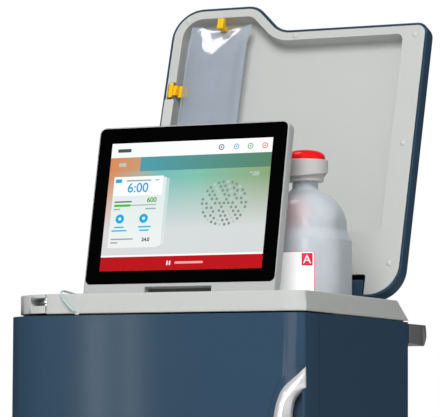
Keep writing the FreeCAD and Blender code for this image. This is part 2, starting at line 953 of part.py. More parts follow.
def make_bottle():
    body = prism_z(bottle_outline(0.0), bottle_floor_z, bottle_ledge_z)
    body = round_edges(body, 6.0, lambda edge: flat_at(bottle_floor_z, edge))
    ledge_top = bottle_ledge_z + bottle_ledge_height
    ledge = Part.makeLoft(
        [
            rounded_wire(bottle_outline(0.0), lambda p: V(p.x, p.y, bottle_ledge_z)),
            rounded_wire(bottle_outline(bottle_ledge_inset), lambda p: V(p.x, p.y, ledge_top)),
        ],
        True,
        True,
    )
    # The shoulder: the inset outline drawn up and cut by a turned dome
    shoulder = prism_z(bottle_outline(bottle_ledge_inset), ledge_top, bottle_top_z)
    points = [V(bottle_x + r, bottle_y, bottle_top_z - drop) for r, drop in bottle_dome]
    foot = V(bottle_x, bottle_y, points[0].z)
    crown = V(bottle_x, bottle_y, bottle_top_z)
    profile = Part.Wire(
        [
            Part.makeLine(foot, points[0]),
            Part.Arc(points[0], points[1], points[2]).toShape(),
            Part.makeLine(points[2], crown),
            Part.makeLine(crown, foot),
        ]
    )
    dome = Part.Face(profile).revolve(foot, Z_AXIS, 360)
    shoulder = shoulder.common(dome)
    neck = rod(bottle_neck_radius, (bottle_x, bottle_y, bottle_top_z - 4), Z_AXIS, collar_z + 14 - bottle_top_z)
    keep("bottle", body.fuse(ledge).fuse(shoulder).fuse(neck).removeSplitter())

    low = rod(collar_low_radius, (bottle_x, bottle_y, collar_z), Z_AXIS, collar_step_height)
    upper = rod(
        collar_radius,
        (bottle_x, bottle_y, collar_z + collar_step_height),
        Z_AXIS,
        collar_height - collar_step_height,
    )
    upper = bevel_edges(upper, 1.8, lambda edge: edge.Curve.TypeId == "Part::GeomCircle")
    low = bevel_edges(low, 0.8, lambda edge: flat_at(collar_z, edge))
    ribs = []
    rib_count = 24
    for i in range(rib_count):
        angle = 360.0 * i / rib_count
        rib = box(
            bottle_x + collar_low_radius - 1,
            bottle_x + collar_low_radius + 0.8,
            bottle_y - 0.9,
            bottle_y + 0.9,
            collar_z + 1.5,
            collar_z + collar_step_height - 1.0,
        )
        rib.rotate(V(bottle_x, bottle_y, 0), Z_AXIS, angle)
        ribs.append(rib)
    collar = low.fuse(upper).multiFuse(ribs)
    collar = collar.cut(
        rod(bottle_neck_radius + 0.1, (bottle_x, bottle_y, collar_z - 1), Z_AXIS, 12.0)
    )
    keep("bottle_collar", collar.removeSplitter())

    cap_z = collar_z + collar_height
    rise = cap_height - cap_side_height
    crown_radius = (cap_radius ** 2 + rise ** 2) / (2 * rise)
    cap = rod(cap_radius, (bottle_x, bottle_y, cap_z), Z_AXIS, cap_height)
    cap = cap.common(Part.makeSphere(crown_radius, V(bottle_x, bottle_y, cap_z + cap_height - crown_radius)))
    cap = round_edges(cap, 3.5, lambda edge: flat_at(cap_z + cap_side_height, edge))
    keep("bottle_cap", cap)


# Display, in its own upright frame, then tilted about its pivot


tilt = math.radians(display_tilt)
pivot_y = (
    display_foot_y
    - pivot_below_active * math.sin(tilt)
    + case_thickness / 2 * math.cos(tilt)
)
pivot_z = (
    deck_z
    + display_foot_rise
    - pivot_below_active * math.cos(tilt)
    - case_thickness / 2 * math.sin(tilt)
)


def tilted(shape):
    """From upright, with the front face half a case in front of the pivot, to the rest tilt."""
    moved = shape.copy()
    moved.rotate(V(0, pivot_y, pivot_z), X_AXIS, -display_tilt)
    return moved


def make_display():
    front = pivot_y - case_thickness / 2
    back = pivot_y + case_thickness / 2
    active_z0 = pivot_z + pivot_below_active
    glass_z0 = active_z0 - glass_below_active
    half = glass_width / 2 + case_margin
    top = glass_z0 + glass_height + case_margin
    foot_radius = case_thickness / 2
    case = prism_y(
        [
            (display_x - half, pivot_z, 0),
            (display_x + half, pivot_z, 0),
            (display_x + half, top, case_corner_radius),
            (display_x - half, top, case_corner_radius),
        ],
        front,
        back,
    )
    foot = rod(foot_radius, (display_x - half, pivot_y, pivot_z), X_AXIS, 2 * half)
    case = case.fuse(foot).removeSplitter()
    edge_bevel = 1.6
    case = bevel_edges(
        case,
        edge_bevel,
        lambda edge: middle_of(edge).z > pivot_z + 0.5
        and (abs(edge.BoundBox.YMax - back) < 0.01 and abs(edge.BoundBox.YMin - back) < 0.01),
    )
    glass = prism_y(
        rectangle(
            display_x - glass_width / 2,
            display_x + glass_width / 2,
            glass_z0,
            glass_z0 + glass_height,
            case_corner_radius - case_margin,
        ),
        front - 0.4,
        front - 0.4 + glass_thickness,
    )
    pocket = prism_y(
        rectangle(
            display_x - glass_width / 2 - 0.2,
            display_x + glass_width / 2 + 0.2,
            glass_z0 - 0.2,
            glass_z0 + glass_height + 0.2,
            case_corner_radius - case_margin,
        ),
        front - 1,
        front - 0.4 + glass_thickness,
    )
    panel_margin = 6.0
    panel_thickness = 6.0
    panel = box(
        display_x - active_width / 2 - panel_margin,
        display_x + active_width / 2 + panel_margin,
        front - 0.4 + glass_thickness,
        front - 0.4 + glass_thickness + panel_thickness,
        active_z0 - panel_margin,
        active_z0 + active_height + panel_margin,
    )
    hollow = box(
        display_x - active_width / 2 - panel_margin - 0.2,
        display_x + active_width / 2 + panel_margin + 0.2,
        front,
        back - case_wall,
        active_z0 - panel_margin - 0.2,
        active_z0 + active_height + panel_margin + 0.2,
    )
    case = case.cut(pocket).cut(hollow)
    standoffs = []
    for x in (-1, 1):
        for z in (0.15, 0.85):
            standoffs.append(
                rod(
                    4.0,
                    (
                        display_x + x * active_width * 0.4,
                        front - 0.4 + glass_thickness + panel_thickness,
                        active_z0 + active_height * z,
                    ),
                    Y_AXIS,
                    back - case_wall - (front - 0.4 + glass_thickness + panel_thickness) + 0.5,
                )
            )
    case = case.multiFuse(standoffs)
    slot = box(
        display_x - foot_slot_width / 2,
        display_x + foot_slot_width / 2,
        front - 1,
        back + 1,
        pivot_z - foot_radius - 1,
        pivot_z + foot_slot_height,
    )
    case = case.cut(slot)
    for side in (-1, 1):
        x0 = display_x + side * ear_spacing / 2 - ear_thickness / 2 - fit_gap
        width = ear_thickness + 2 * fit_gap
        case = case.cut(rod(ear_radius + 0.6, (x0, pivot_y, pivot_z), X_AXIS, width))
        case = case.cut(
            box(
                x0,
                x0 + width,
                pivot_y - ear_radius - 0.6,
                back + 1,
                pivot_z - foot_radius - 1,
                pivot_z,
            )
        )
    bore = rod(
        pivot_radius + running_gap,
        (display_x - ear_spacing / 2 - 20, pivot_y, pivot_z),
        X_AXIS,
        ear_spacing + 40,
    )
    case = case.cut(bore)
    keep("tablet_case", tilted(case.removeSplitter()))
    keep("tablet_glass", tilted(glass))
    keep("display_panel", tilted(panel))

    ears = []
    pins = []
    trough_floor = pivot_z - foot_trough_depth
    for side in (-1, 1):
        x0 = display_x + side * ear_spacing / 2 - ear_thickness / 2
        ear = rod(ear_radius, (x0, pivot_y, pivot_z), X_AXIS, ear_thickness)
        post = box(
            x0,
            x0 + ear_thickness,
            pivot_y - ear_radius * 0.7,
            pivot_y + ear_radius * 0.7,
            trough_floor,
            pivot_z,
        )
        ear = ear.fuse(post)
        ear = ear.cut(rod(pivot_radius + running_gap, (x0 - 1, pivot_y, pivot_z), X_AXIS, ear_thickness + 2))
        ears.append(ear.removeSplitter())
        pin_length = ear_thickness + 24
        pins.append(
            rod(pivot_radius, (x0 - 12, pivot_y, pivot_z), X_AXIS, pin_length)
        )
    keep("tablet_hinge_ears", *ears)
    keep("tablet_hinge_pins", *pins)


# Lid, built upright with s along Z and t along Y, then leaned back


def leaned(shape):
    moved = shape.copy()
    moved.rotate(V(0, lid_foot_y, deck_top_z), X_AXIS, -lid_lean)
    return moved


def lid_corners(left, right, bottom, top, corner):
    """The stepped lid outline set in by a distance on each side; corner trims the fixed radii."""
    diagonal = top * math.sqrt(0.5)
    step_x = lid_step_x - diagonal
    step_s = lid_step_s - diagonal
    high = lid_high_top_s - top
    low = lid_low_top_s - top
    x0 = lid_left_x + left
    x1 = lid_right_x - right
    s0 = lid_bottom_s + bottom
    high_x = step_x - (high - step_s)
    low_x = step_x + (step_s - low)
    return [
        (x0, deck_top_z + s0, corner["foot"]),
        (x1, deck_top_z + s0, corner["foot"]),
        (x1, deck_top_z + low, corner["top_right"]),
        (low_x, deck_top_z + low, lid_step_concave + top),
        (high_x, deck_top_z + high, lid_step_convex - top),
        (x0, deck_top_z + high, corner["top_left"]),
    ]


def lid_block(inset, t0, t1):
    corner = {
        "foot": lid_foot_radius - inset,
        "top_right": lid_top_right_radius - inset,
        "top_left": lid_top_left_radius - inset,
    }
    return prism_y(lid_corners(inset, inset, inset, inset, corner), lid_foot_y + t0, lid_foot_y + t1)


def recess_block(grow, t0, t1):
    corner = {
        "foot": recess_corner_radius + grow,
        "top_right": recess_corner_radius + 3 + grow,
        "top_left": lid_top_left_radius - flange_top + grow,
    }
    corners = lid_corners(
        flange_left - grow, flange_right - grow, flange_bottom - grow, flange_top - grow, corner
    )
    return prism_y(corners, lid_foot_y + t0, lid_foot_y + t1)


def lid_notches(grow, t0, t1):
    """Openings at the lid's foot that clear the hinge brackets."""
    spans = [
        (notch_left_x, notch_right_x),
        (lid_left_x + lid_right_x - notch_right_x, lid_left_x + lid_right_x - notch_left_x),
    ]
    blocks = []
    for x0, x1 in spans:
        blocks.append(
            prism_y(
                [
                    (x0 - grow, deck_top_z - 40, 0),
                    (x1 + grow, deck_top_z - 40, 0),
                    (x1 + grow, deck_top_z + notch_height + grow, 4.0),
                    (x0 - grow, deck_top_z + notch_height + grow, 4.0),
                ],
                lid_foot_y + t0,
                lid_foot_y + t1,
            )
        )
    return blocks


screw_places = [
    (-162.0, 459.2),
    (20.4, 424.9),
    (214.8, 415.5),
    (214.4, 243.0),
    (213.9, 57.0),
    (-148.6, 57.0),
]


def hinge_point():
    """The lid hinge axis: inset behind the flange and the same height above the deck top."""
    lean = math.radians(lid_lean)
    y = lid_foot_y + (hinge_inset + hinge_rise * math.sin(lean)) / math.cos(lean)
    return y, deck_top_z + hinge_rise


def make_lid():
    shell = lid_block(0.0, 0.0, lid_depth)
    back_y = lid_foot_y + lid_depth
    shell = shell.makeFillet(
        lid_back_radius,
        [
            edge
            for edge in shell.Edges
            if abs(edge.BoundBox.YMin - back_y) < 0.01 and abs(edge.BoundBox.YMax - back_y) < 0.01
        ],
    )
    shell = shell.makeChamfer(
        lid_rim * 0.4,
        [
            edge
            for edge in shell.Edges
            if abs(edge.BoundBox.YMin - lid_foot_y) < 0.01 and abs(edge.BoundBox.YMax - lid_foot_y) < 0.01
        ],
    )
    inside = lid_block(lid_rim, -1.0, lid_depth - lid_wall)
    inside = inside.makeChamfer(
        lid_back_radius * 0.6,
        [
            edge
            for edge in inside.Edges
            if abs(edge.BoundBox.YMin - back_y + lid_wall) < 0.01
            and abs(edge.BoundBox.YMax - back_y + lid_wall) < 0.01
        ],
    )
    shell = shell.cut(inside)
    bosses = []
    for x, s in screw_places:
        boss = rod(
            5.0,
            (x, lid_foot_y + flange_wall + fit_gap, deck_top_z + s),
            Y_AXIS,
            lid_depth - flange_wall - lid_wall - fit_gap + 0.5,
        )
        bosses.append(boss)
    tub_space = recess_block(liner_wall + fit_gap, -1.0, recess_depth + liner_wall + fit_gap)
    shell = shell.multiFuse([boss.cut(tub_space) for boss in bosses])
    for x, s in screw_places:
        shell = shell.cut(
            rod(screw_shank_radius + running_gap, (x, lid_foot_y, deck_top_z + s), Y_AXIS, 16)
        )
    axis_y, axis_z = hinge_point()
    upright_y, upright_z = lid_upright(axis_y, axis_z)
    for block in lid_notches(0.0, -1.0, hinge_inset + lid_knuckle_radius + 4):
        shell = shell.cut(block)
    keep("lid_shell", leaned(shell.removeSplitter()))

    liner = lid_block(lid_rim + fit_gap, 0.0, flange_wall)
    tub = recess_block(liner_wall, 0.0, recess_depth + liner_wall)
    liner = liner.fuse(tub)
    space = recess_block(0.0, -1.0, recess_depth)
    floor_edges = [
        edge
        for edge in space.Edges
        if abs(edge.BoundBox.YMin - lid_foot_y - recess_depth) < 0.01
        and abs(edge.BoundBox.YMax - lid_foot_y - recess_depth) < 0.01
    ]
    space = space.makeFillet(5.0, floor_edges)
    liner = liner.cut(space)
    for block in lid_notches(2.0, -1.0, recess_depth + 20):
        liner = liner.cut(block)
    for x, s in screw_places:
        liner = liner.cut(
            rod(screw_shank_radius + running_gap, (x, lid_foot_y - 1, deck_top_z + s), Y_AXIS, 8)
        )
    keep("lid_liner", leaned(liner.removeSplitter()))

    screws = []
    for x, s in screw_places:
        head = Part.makeSphere(screw_head_radius * 1.6, V(x, lid_foot_y + screw_head_radius * 1.25, deck_top_z + s))
        head = head.common(
            box(
                x - screw_head_radius,
                x + screw_head_radius,
                lid_foot_y - 4,
                lid_foot_y,
                deck_top_z + s - screw_head_radius,
                deck_top_z + s + screw_head_radius,
            )
        )
        shank = rod(screw_shank_radius, (x, lid_foot_y - 0.5, deck_top_z + s), Y_AXIS, 14.5)
        screws.append(leaned(head.fuse(shank)))
    keep("lid_screws", *screws)

    x0 = lid_left_x + lid_rim + 0.6
    strip = prism_y(
        rectangle(
            x0,
            x0 + cover_strip_width - 1.6,
            deck_top_z + cover_strip_bottom_s,
            deck_top_z + cover_strip_top_s,
            1.5,
        ),
        lid_foot_y - cover_strip_height,
        lid_foot_y,
    )
    keep("flange_cover", leaned(strip))

    # Yellow hook: a gusseted tongue on a round foot, its tip turned up
    floor_t = lid_foot_y + recess_depth
    s = deck_top_z + hook_s
    tongue = prism_x(
        [
            (floor_t, s - 6, 0),
            (floor_t, s + 3, 0),
            (floor_t - hook_reach + 9, s - 1, 3.0),
            (floor_t - hook_reach + 6, s + hook_height / 2, 1.5),
            (floor_t - hook_reach, s + hook_height / 2, 2.0),
            (floor_t - hook_reach, s - hook_height / 2, 2.0),
            (floor_t - hook_reach + 8, s - hook_height / 2, 3.0),
        ],
        hook_x - hook_width / 2,
        hook_x + hook_width / 2,
    )
    pad = rod(8.0, (hook_x, floor_t - 2.0, s - 2), Y_AXIS, 2.0)
    keep("bag_hook", leaned(tongue.fuse(pad).removeSplitter()))

    # Yellow side clip: a bar in the left flange and a tab behind the bag
    cs = deck_top_z + clip_s
    bar_x = lid_left_x + lid_rim + 5.0
    bar = prism_y(
        rectangle(bar_x, bar_x + clip_bar_width, cs - clip_height / 2, cs + clip_height / 2, 3.0),
        lid_foot_y - 5.0,
        lid_foot_y,
    )
    arm_x = lid_left_x + flange_left
    arm = box(bar_x + 2, arm_x + 4.8, lid_foot_y - 3.5, lid_foot_y, cs - 9, cs + 9)
    tab_back = floor_t - clip_floor_gap
    drop = box(arm_x + 2.0, arm_x + 4.8, lid_foot_y - 3.5, tab_back, cs - 9, cs + 9)
    tab = prism_y(
        rectangle(arm_x + 2.0, arm_x + 32, cs - 11, cs + 11, 1.3),
        tab_back - clip_sheet,
        tab_back,
    )
    keep("bag_side_clip", leaned(bar.multiFuse([arm, drop, tab]).removeSplitter()))

    # Fluid bag, plain pillow with a welded top edge
    bag_front = floor_t - clip_floor_gap - clip_sheet - bag_back_gap - bag_thickness
    bag = prism_y(
        rectangle(
            bag_left_x,
            bag_left_x + bag_width,
            deck_top_z + bag_top_s - bag_height,
            deck_top_z + bag_top_s - 26,
            16.0,
        ),
        bag_front,
        bag_front + bag_thickness,
    )
    bag = bag.makeFillet(
        11.0,
        [
            edge
            for edge in bag.Edges
            if (edge.BoundBox.YMax - edge.BoundBox.YMin) < 0.01
        ],
    )
    weld_y = bag_front + bag_thickness * 0.55
    weld = prism_y(
        rectangle(
            bag_left_x + 2,
            bag_left_x + bag_width - 2,
            deck_top_z + bag_top_s - 44,
            deck_top_z + bag_top_s,
            4.0,
        ),
        weld_y,
        weld_y + 2.0,
    )
    bag = bag.fuse(weld)
    bag = bag.cut(
        box(
            hook_x - hook_width / 2 - 2,
            hook_x + hook_width / 2 + 2,
            weld_y - 1,
            weld_y + 3,
            s - hook_height / 2 - 1.5,
            s + hook_height / 2 + 4,
        )
    )
    keep("saline_bag", leaned(bag.removeSplitter()))

    # Hinges: a leaf with a knuckle on the shell's foot, a bracket on the deck's slant, a pin through both
    leaves = []
    brackets = []
    pins = []
    bore = lid_hinge_pin_radius + running_gap
    centre_x = (lid_left_x + lid_right_x) / 2
    for side in (-1, 1):
        x_mid = centre_x + side * (notch_left_x + notch_right_x - 2 * centre_x) / 2
        x0 = x_mid - lid_knuckle_length / 2
        third = lid_knuckle_length / 3
        knuckle = rod(lid_knuckle_radius, (x0 + third + fit_gap, upright_y, upright_z), X_AXIS, third - 2 * fit_gap)
        web = box(
            x0 + third + fit_gap,
            x0 + 2 * third - fit_gap,
            upright_y,
            lid_foot_y + lid_depth - lid_wall + 0.5,
            upright_z - 3.0,
            upright_z + 8.0,
        )
        leaf = knuckle.fuse(web)
        leaf = leaf.cut(rod(bore, (x0 - 1, upright_y, upright_z), X_AXIS, lid_knuckle_length + 2))
        leaves.append(leaned(leaf.removeSplitter()))
        # Cheeks and a front plate, which fill the notch as seen from the front
        plate_y = lid_foot_y + hinge_plate_inset
        cheek = prism_x(
            [
                (plate_y, deck_top_z - 30.0, 0),
                (plate_y, deck_top_z + hinge_cheek_top, 1.5),
                (plate_y + 6.0, deck_top_z + hinge_cheek_top + 1.5, 4.0),
                (lid_foot_y + hinge_inset + 7.0, upright_z + 10.0, 5.0),
                (lid_foot_y + hinge_inset + 7.5, deck_top_z - 30.0, 0),
            ],
            x0,
            x0 + lid_knuckle_length,
        )
        pocket = box(
            x0 + third,
            x0 + 2 * third,
            plate_y + hinge_plate,
            lid_foot_y + lid_depth,
            deck_top_z - 31.0,
            deck_top_z + 60.0,
        )
        bracket = leaned(cheek.cut(pocket))
        bracket = bracket.cut(deck_slant_block(x0 - 1, x0 + lid_knuckle_length + 1))
        bracket = bracket.cut(rod(bore, (x0 - 1, axis_y, axis_z), X_AXIS, lid_knuckle_length + 2))
        brackets.append(bracket.removeSplitter())
        pins.append(rod(lid_hinge_pin_radius, (x0, axis_y, axis_z), X_AXIS, lid_knuckle_length))
    nodes["lid_shell"] = nodes["lid_shell"].multiFuse(leaves).removeSplitter()
    keep("lid_hinge_brackets", *brackets)
    keep("lid_hinge_pins", *pins)


def lid_upright(y, z):
    """Where a point of the leaned lid lies while the lid is still upright."""
    lean = math.radians(lid_lean)
    dy = y - lid_foot_y
    dz = z - deck_top_z
    return (
        lid_foot_y + dy * math.cos(lean) - dz * math.sin(lean),
        deck_top_z + dy * math.sin(lean) + dz * math.cos(lean),
    )


def deck_slant_block(x0, x1):
    """The space below the deck's top and its slanted rear face, for feet that stand on them."""
    rear = cabinet_depth - 1
    lift = 0.05
    return prism_x(
        [
            (rear - deck_rear_run - 60.0, deck_z - 60.0, 0),
            (rear + 0.01, deck_z - 60.0, 0),
            (rear + 0.01, deck_z + lift, 0),
            (rear - deck_rear_run, deck_top_z + lift, 0),
            (rear - deck_rear_run - 60.0, deck_top_z + lift, 0),
        ],
        x0,
        x1,
    )


# Push handle


def make_push_handle():
    """Two arms and a cross grip in one piece, the grip's ends cut back by a slanting plane."""
    z1 = deck_z - push_handle_drop
    z0 = z1 - push_handle_height
    y0 = cabinet_depth + handle_pad
    y1 = cabinet_depth + push_handle_reach
    w = push_handle_half_width
    bar = push_handle_bar
    handle = prism_x(
        [
            (y0, z0 + 1.5, 0),
            (y1 - push_handle_grip - push_handle_nose, z0, 6.0),
            (y1 - push_handle_nose / 2, z0, 11.0),
            (y1, z0 + push_handle_height * 0.45, 8.0),
            (y1 - push_handle_nose, z1, 3.0),
            (y0, z1, 0),
        ],
        -w,
        w,
    )
    handle = bevel_edges(handle, 1.4, lambda edge: flat_at(z1, edge) and abs(abs(middle_of(edge).x) - w) < 0.01)
    inner = prism_z(
        [
            (-w + bar, y0 - 1, 0),
            (w - bar, y0 - 1, 0),
            (w - bar, y1 - push_handle_grip, push_handle_corner),
            (-w + bar, y1 - push_handle_grip, push_handle_corner),
        ],
        z0 - 1,
        z1 + 1,
    )
    handle = handle.cut(inner)
    # The plane through the crease on each side face, leaning in towards the grip's end
    top = V(w, y1 - 34.0, z1)
    low = V(w, y1 - 58.0, z0)
    tip = V(w - 7.0, y1 - 4.0, (z0 + z1) / 2)
    normal = (low - top).cross(tip - top).normalize()
    if normal.x < 0:
        normal = normal * -1
    for side in (-1, 1):
        block = Part.makeBox(200, 200, 60)
        block.translate(V(-100, -100, 0))
        out = V(normal.x * side, normal.y, normal.z)
        block.Placement = FreeCAD.Placement(
            V(top.x * side, top.y, top.z), FreeCAD.Rotation(Z_AXIS, out)
        ).multiply(block.Placement)
        handle = handle.cut(block)
    keep("push_handle", handle.removeSplitter())
    pads = []
    for side in (-1, 1):
        x0 = side * (w - 0.6)
        x1 = side * (w - bar - 2.0)
        pad = prism_y(
            rectangle(min(x0, x1), max(x0, x1), z0 + 2.0, z1 - 0.6, 2.0),
            cabinet_depth,
            cabinet_depth + handle_pad,
        )
        pads.append(pad)
    keep("handle_pads", *pads)


# Treatment panel and what it carries


def make_treatment_side():
    gap = fit_gap
    x = half_width - shell_wall - gap
    top = shell_top_z - shell_wall - 1
    floor_z1 = door_bottom_z - 4.5
    floor_z0 = floor_z1 - 3.0 + 0.2
    panel = box(-x, x, treatment_y, treatment_y + treatment_wall, floor_z0, top - 40)
    floor = box(-x, x, door_return + 4.0, treatment_y + 2, floor_z0, floor_z1)
    floor = floor.cut(box(-x - 1, -x + 30, 0, shell_left_y + 0.5, floor_z0 - 1, floor_z1 + 1))
    stiffeners = []
    for sx in (-1, 1):
        stiffeners.append(
            box(
                sx * (x - 6) - 2,
                sx * (x - 6) + 2,
                treatment_y + treatment_wall - 0.5,
                treatment_y + 24,
                floor_z0,
                top - 40,
            )
        )
    panel = panel.fuse(floor).multiFuse(stiffeners)
    panel = panel.cut(rod(shaft_radius + 1.0, (pump_x, treatment_y - 5, pump_z), Y_AXIS, 20))
    panel = panel.cut(box(-x - 1, -x + 30, treatment_y - 5, treatment_y + 30, floor_z0 - 1, door_bottom_z + 1))
    keep("treatment_panel", panel.removeSplitter())

    # Roller pump
    y0 = treatment_y - pump_housing_depth
    y1 = treatment_y
    w = pump_housing_width / 2
    h = pump_housing_height / 2
    housing = prism_y(rectangle(pump_x - w, pump_x + w, pump_z - h, pump_z + h, 18.0), y0, y1)
    housing = bevel_edges(
        housing,
        2.0,
        lambda edge: abs(edge.BoundBox.YMax - y0) < 0.01 and abs(edge.BoundBox.YMin - y0) < 0.01,
    )
    housing = housing.cut(rod(raceway_radius, (pump_x, y0 - 1, pump_z), Y_AXIS, raceway_depth + 1))
    lane = pump_tube_radius + 0.6
    orbit = raceway_radius - pump_tube_radius - 0.2
    for side in (-1, 1):
        housing = housing.cut(
            box(
                pump_x + side * orbit - lane,
                pump_x + side * orbit + lane,
                y0 - 1,
                y0 + raceway_depth,
                pump_z - h - 1,
                pump_z,
            )
        )
    housing = housing.cut(rod(shaft_radius + running_gap, (pump_x, y0, pump_z), Y_AXIS, pump_housing_depth + 1))
    keep("pump_housing", housing.removeSplitter())
    middle_y = y0 + raceway_depth / 2
    plate_gap = 0.6
    arms = []
    for y in (middle_y - roller_length / 2 - plate_gap - rotor_plate, middle_y + roller_length / 2 + plate_gap):
        arm = prism_y(
            [
                (pump_x - roller_orbit - 5, pump_z - 5, 4.5),
                (pump_x + roller_orbit + 5, pump_z - 5, 4.5),
                (pump_x + roller_orbit + 5, pump_z + 5, 4.5),
                (pump_x - roller_orbit - 5, pump_z + 5, 4.5),
            ],
            y,
            y + rotor_plate,
        )
        disc = rod(rotor_hub_radius, (pump_x, y, pump_z), Y_AXIS, rotor_plate)
        arms.append(arm.fuse(disc))
    hub = rod(rotor_hub_radius - 3, (pump_x, middle_y - roller_length / 2 - 2, pump_z), Y_AXIS, roller_length + 4)
    shaft = rod(shaft_radius, (pump_x, middle_y, pump_z), Y_AXIS, treatment_y + 12 - middle_y)
    knob = rod(9.0, (pump_x, y0 - 2.5, pump_z), Y_AXIS, 8.0)
    rotor = hub.multiFuse(arms + [shaft, knob])
    roller_pin = 2.5
    rollers = []
    for side in (-1, 1):
        cx = pump_x + side * roller_orbit
        start = middle_y - roller_length / 2 - plate_gap - rotor_plate
        length = roller_length + 2 * plate_gap + 2 * rotor_plate
        rotor = rotor.fuse(rod(roller_pin, (cx, start, pump_z), Y_AXIS, length))
        roller = rod(roller_radius, (cx, middle_y - roller_length / 2, pump_z), Y_AXIS, roller_length)
        roller = roller.cut(rod(roller_pin + running_gap, (cx, middle_y - roller_length, pump_z), Y_AXIS, 2 * roller_length))
        roller = bevel_edges(roller, 1.0, lambda edge: edge.Curve.TypeId == "Part::GeomCircle" and edge.Curve.Radius > 5)
        rollers.append(roller)
    keep("pump_rotor", rotor.removeSplitter())
    keep("pump_roller_left", rollers[0])
    keep("pump_roller_right", rollers[1])
    # Pump tube: up one lane, round the top of the raceway, down the other
    low = pump_z - h - 24
    path = Part.Wire(
        [
            Part.makeLine(V(pump_x - orbit, middle_y, low), V(pump_x - orbit, middle_y, pump_z)),
            Part.Arc(
                V(pump_x - orbit, middle_y, pump_z),
                V(pump_x, middle_y, pump_z + orbit),
                V(pump_x + orbit, middle_y, pump_z),
            ).toShape(),
            Part.makeLine(V(pump_x + orbit, middle_y, pump_z), V(pump_x + orbit, middle_y, low)),
        ]
    )
    keep("pump_tube", pipe_along(path, V(pump_x - orbit, middle_y, low), Z_AXIS, pump_tube_radius))

    # Filter in its clips
    fy = treatment_y - filter_cap_radius - 2.0
    body = rod(filter_radius, (filter_x, fy, filter_z0), Z_AXIS, filter_length)
    caps = []
    cap_length = 26.0
    for z in (filter_z0, filter_z0 + filter_length - cap_length):
        caps.append(rod(filter_cap_radius, (filter_x, fy, z), Z_AXIS, cap_length))
        caps.append(rod(5.0, (filter_x - filter_cap_radius - 10, fy, z + cap_length / 2), X_AXIS, 14))
    spouts = [
        Part.makeCone(12.0, 4.0, 14.0, V(filter_x, fy, filter_z0 + filter_length)),
        Part.makeCone(4.0, 12.0, 14.0, V(filter_x, fy, filter_z0 - 14.0)),
    ]
    keep("blood_filter", body.multiFuse(caps + spouts).removeSplitter())
    clips = []
    for z in (filter_z0 + 62.0, filter_z0 + filter_length - 80.0):
        ring = rod(filter_radius + 4.0, (filter_x, fy, z), Z_AXIS, 18.0)
        ring = ring.cut(rod(filter_radius + gap, (filter_x, fy, z - 1), Z_AXIS, 20.0))
        ring = ring.cut(box(filter_x - 12, filter_x + 12, fy - 40, fy, z - 1, z + 19))
        stand = box(filter_x - 7, filter_x + 7, fy + filter_radius + 2, treatment_y, z, z + 18)
        clips.append(ring.fuse(stand).removeSplitter())
    keep("filter_clips", *clips)

    # Line clamps: slotted blocks with a plunger each
    blocks = []
    block_y0 = treatment_y - 36.0
    slot_y0 = block_y0 + 8.0
    for z in (artery_clamp_z, vein_clamp_z):
        half = clamp_block / 2
        block = prism_y(rectangle(clamp_x - half, clamp_x + half, z - half, z + half, 5.0), block_y0, treatment_y)
        block = block.cut(box(clamp_x - half - 1, clamp_x + half + 1, slot_y0, slot_y0 + clamp_slot, z - 6, z + half + 1))
        block = block.cut(rod(plunger_radius + running_gap, (clamp_x, slot_y0 + 1, z), Y_AXIS, 60))
        blocks.append(block.removeSplitter())
    keep("line_clamp_blocks", *blocks)
    for name, z in (("artery_clamp_plunger", artery_clamp_z), ("vein_clamp_plunger", vein_clamp_z)):
        plunger = rod(plunger_radius, (clamp_x, slot_y0 + clamp_slot, z), Y_AXIS, treatment_y - slot_y0 - clamp_slot - 1.0)
        keep(name, plunger)
    detector = box(clamp_x - 15, clamp_x + 15, treatment_y - 30, treatment_y, detector_z, detector_z + 60)
    detector = detector.cut(rod(7.0, (clamp_x, treatment_y - 22, detector_z - 1), Z_AXIS, 62))
    detector = detector.cut(box(clamp_x - 5, clamp_x + 5, treatment_y - 31, treatment_y - 22, detector_z - 1, detector_z + 61))
    keep("air_detector", detector.removeSplitter())


def pipe_along(path, start, direction, radius):
    """A round bar swept along a wire of lines and tangent arcs."""
    section = Part.Wire([Part.makeCircle(radius, start, direction)])
    return path.makePipeShell([section], True, False)


# Fluid and electric units inside, and the rear sockets


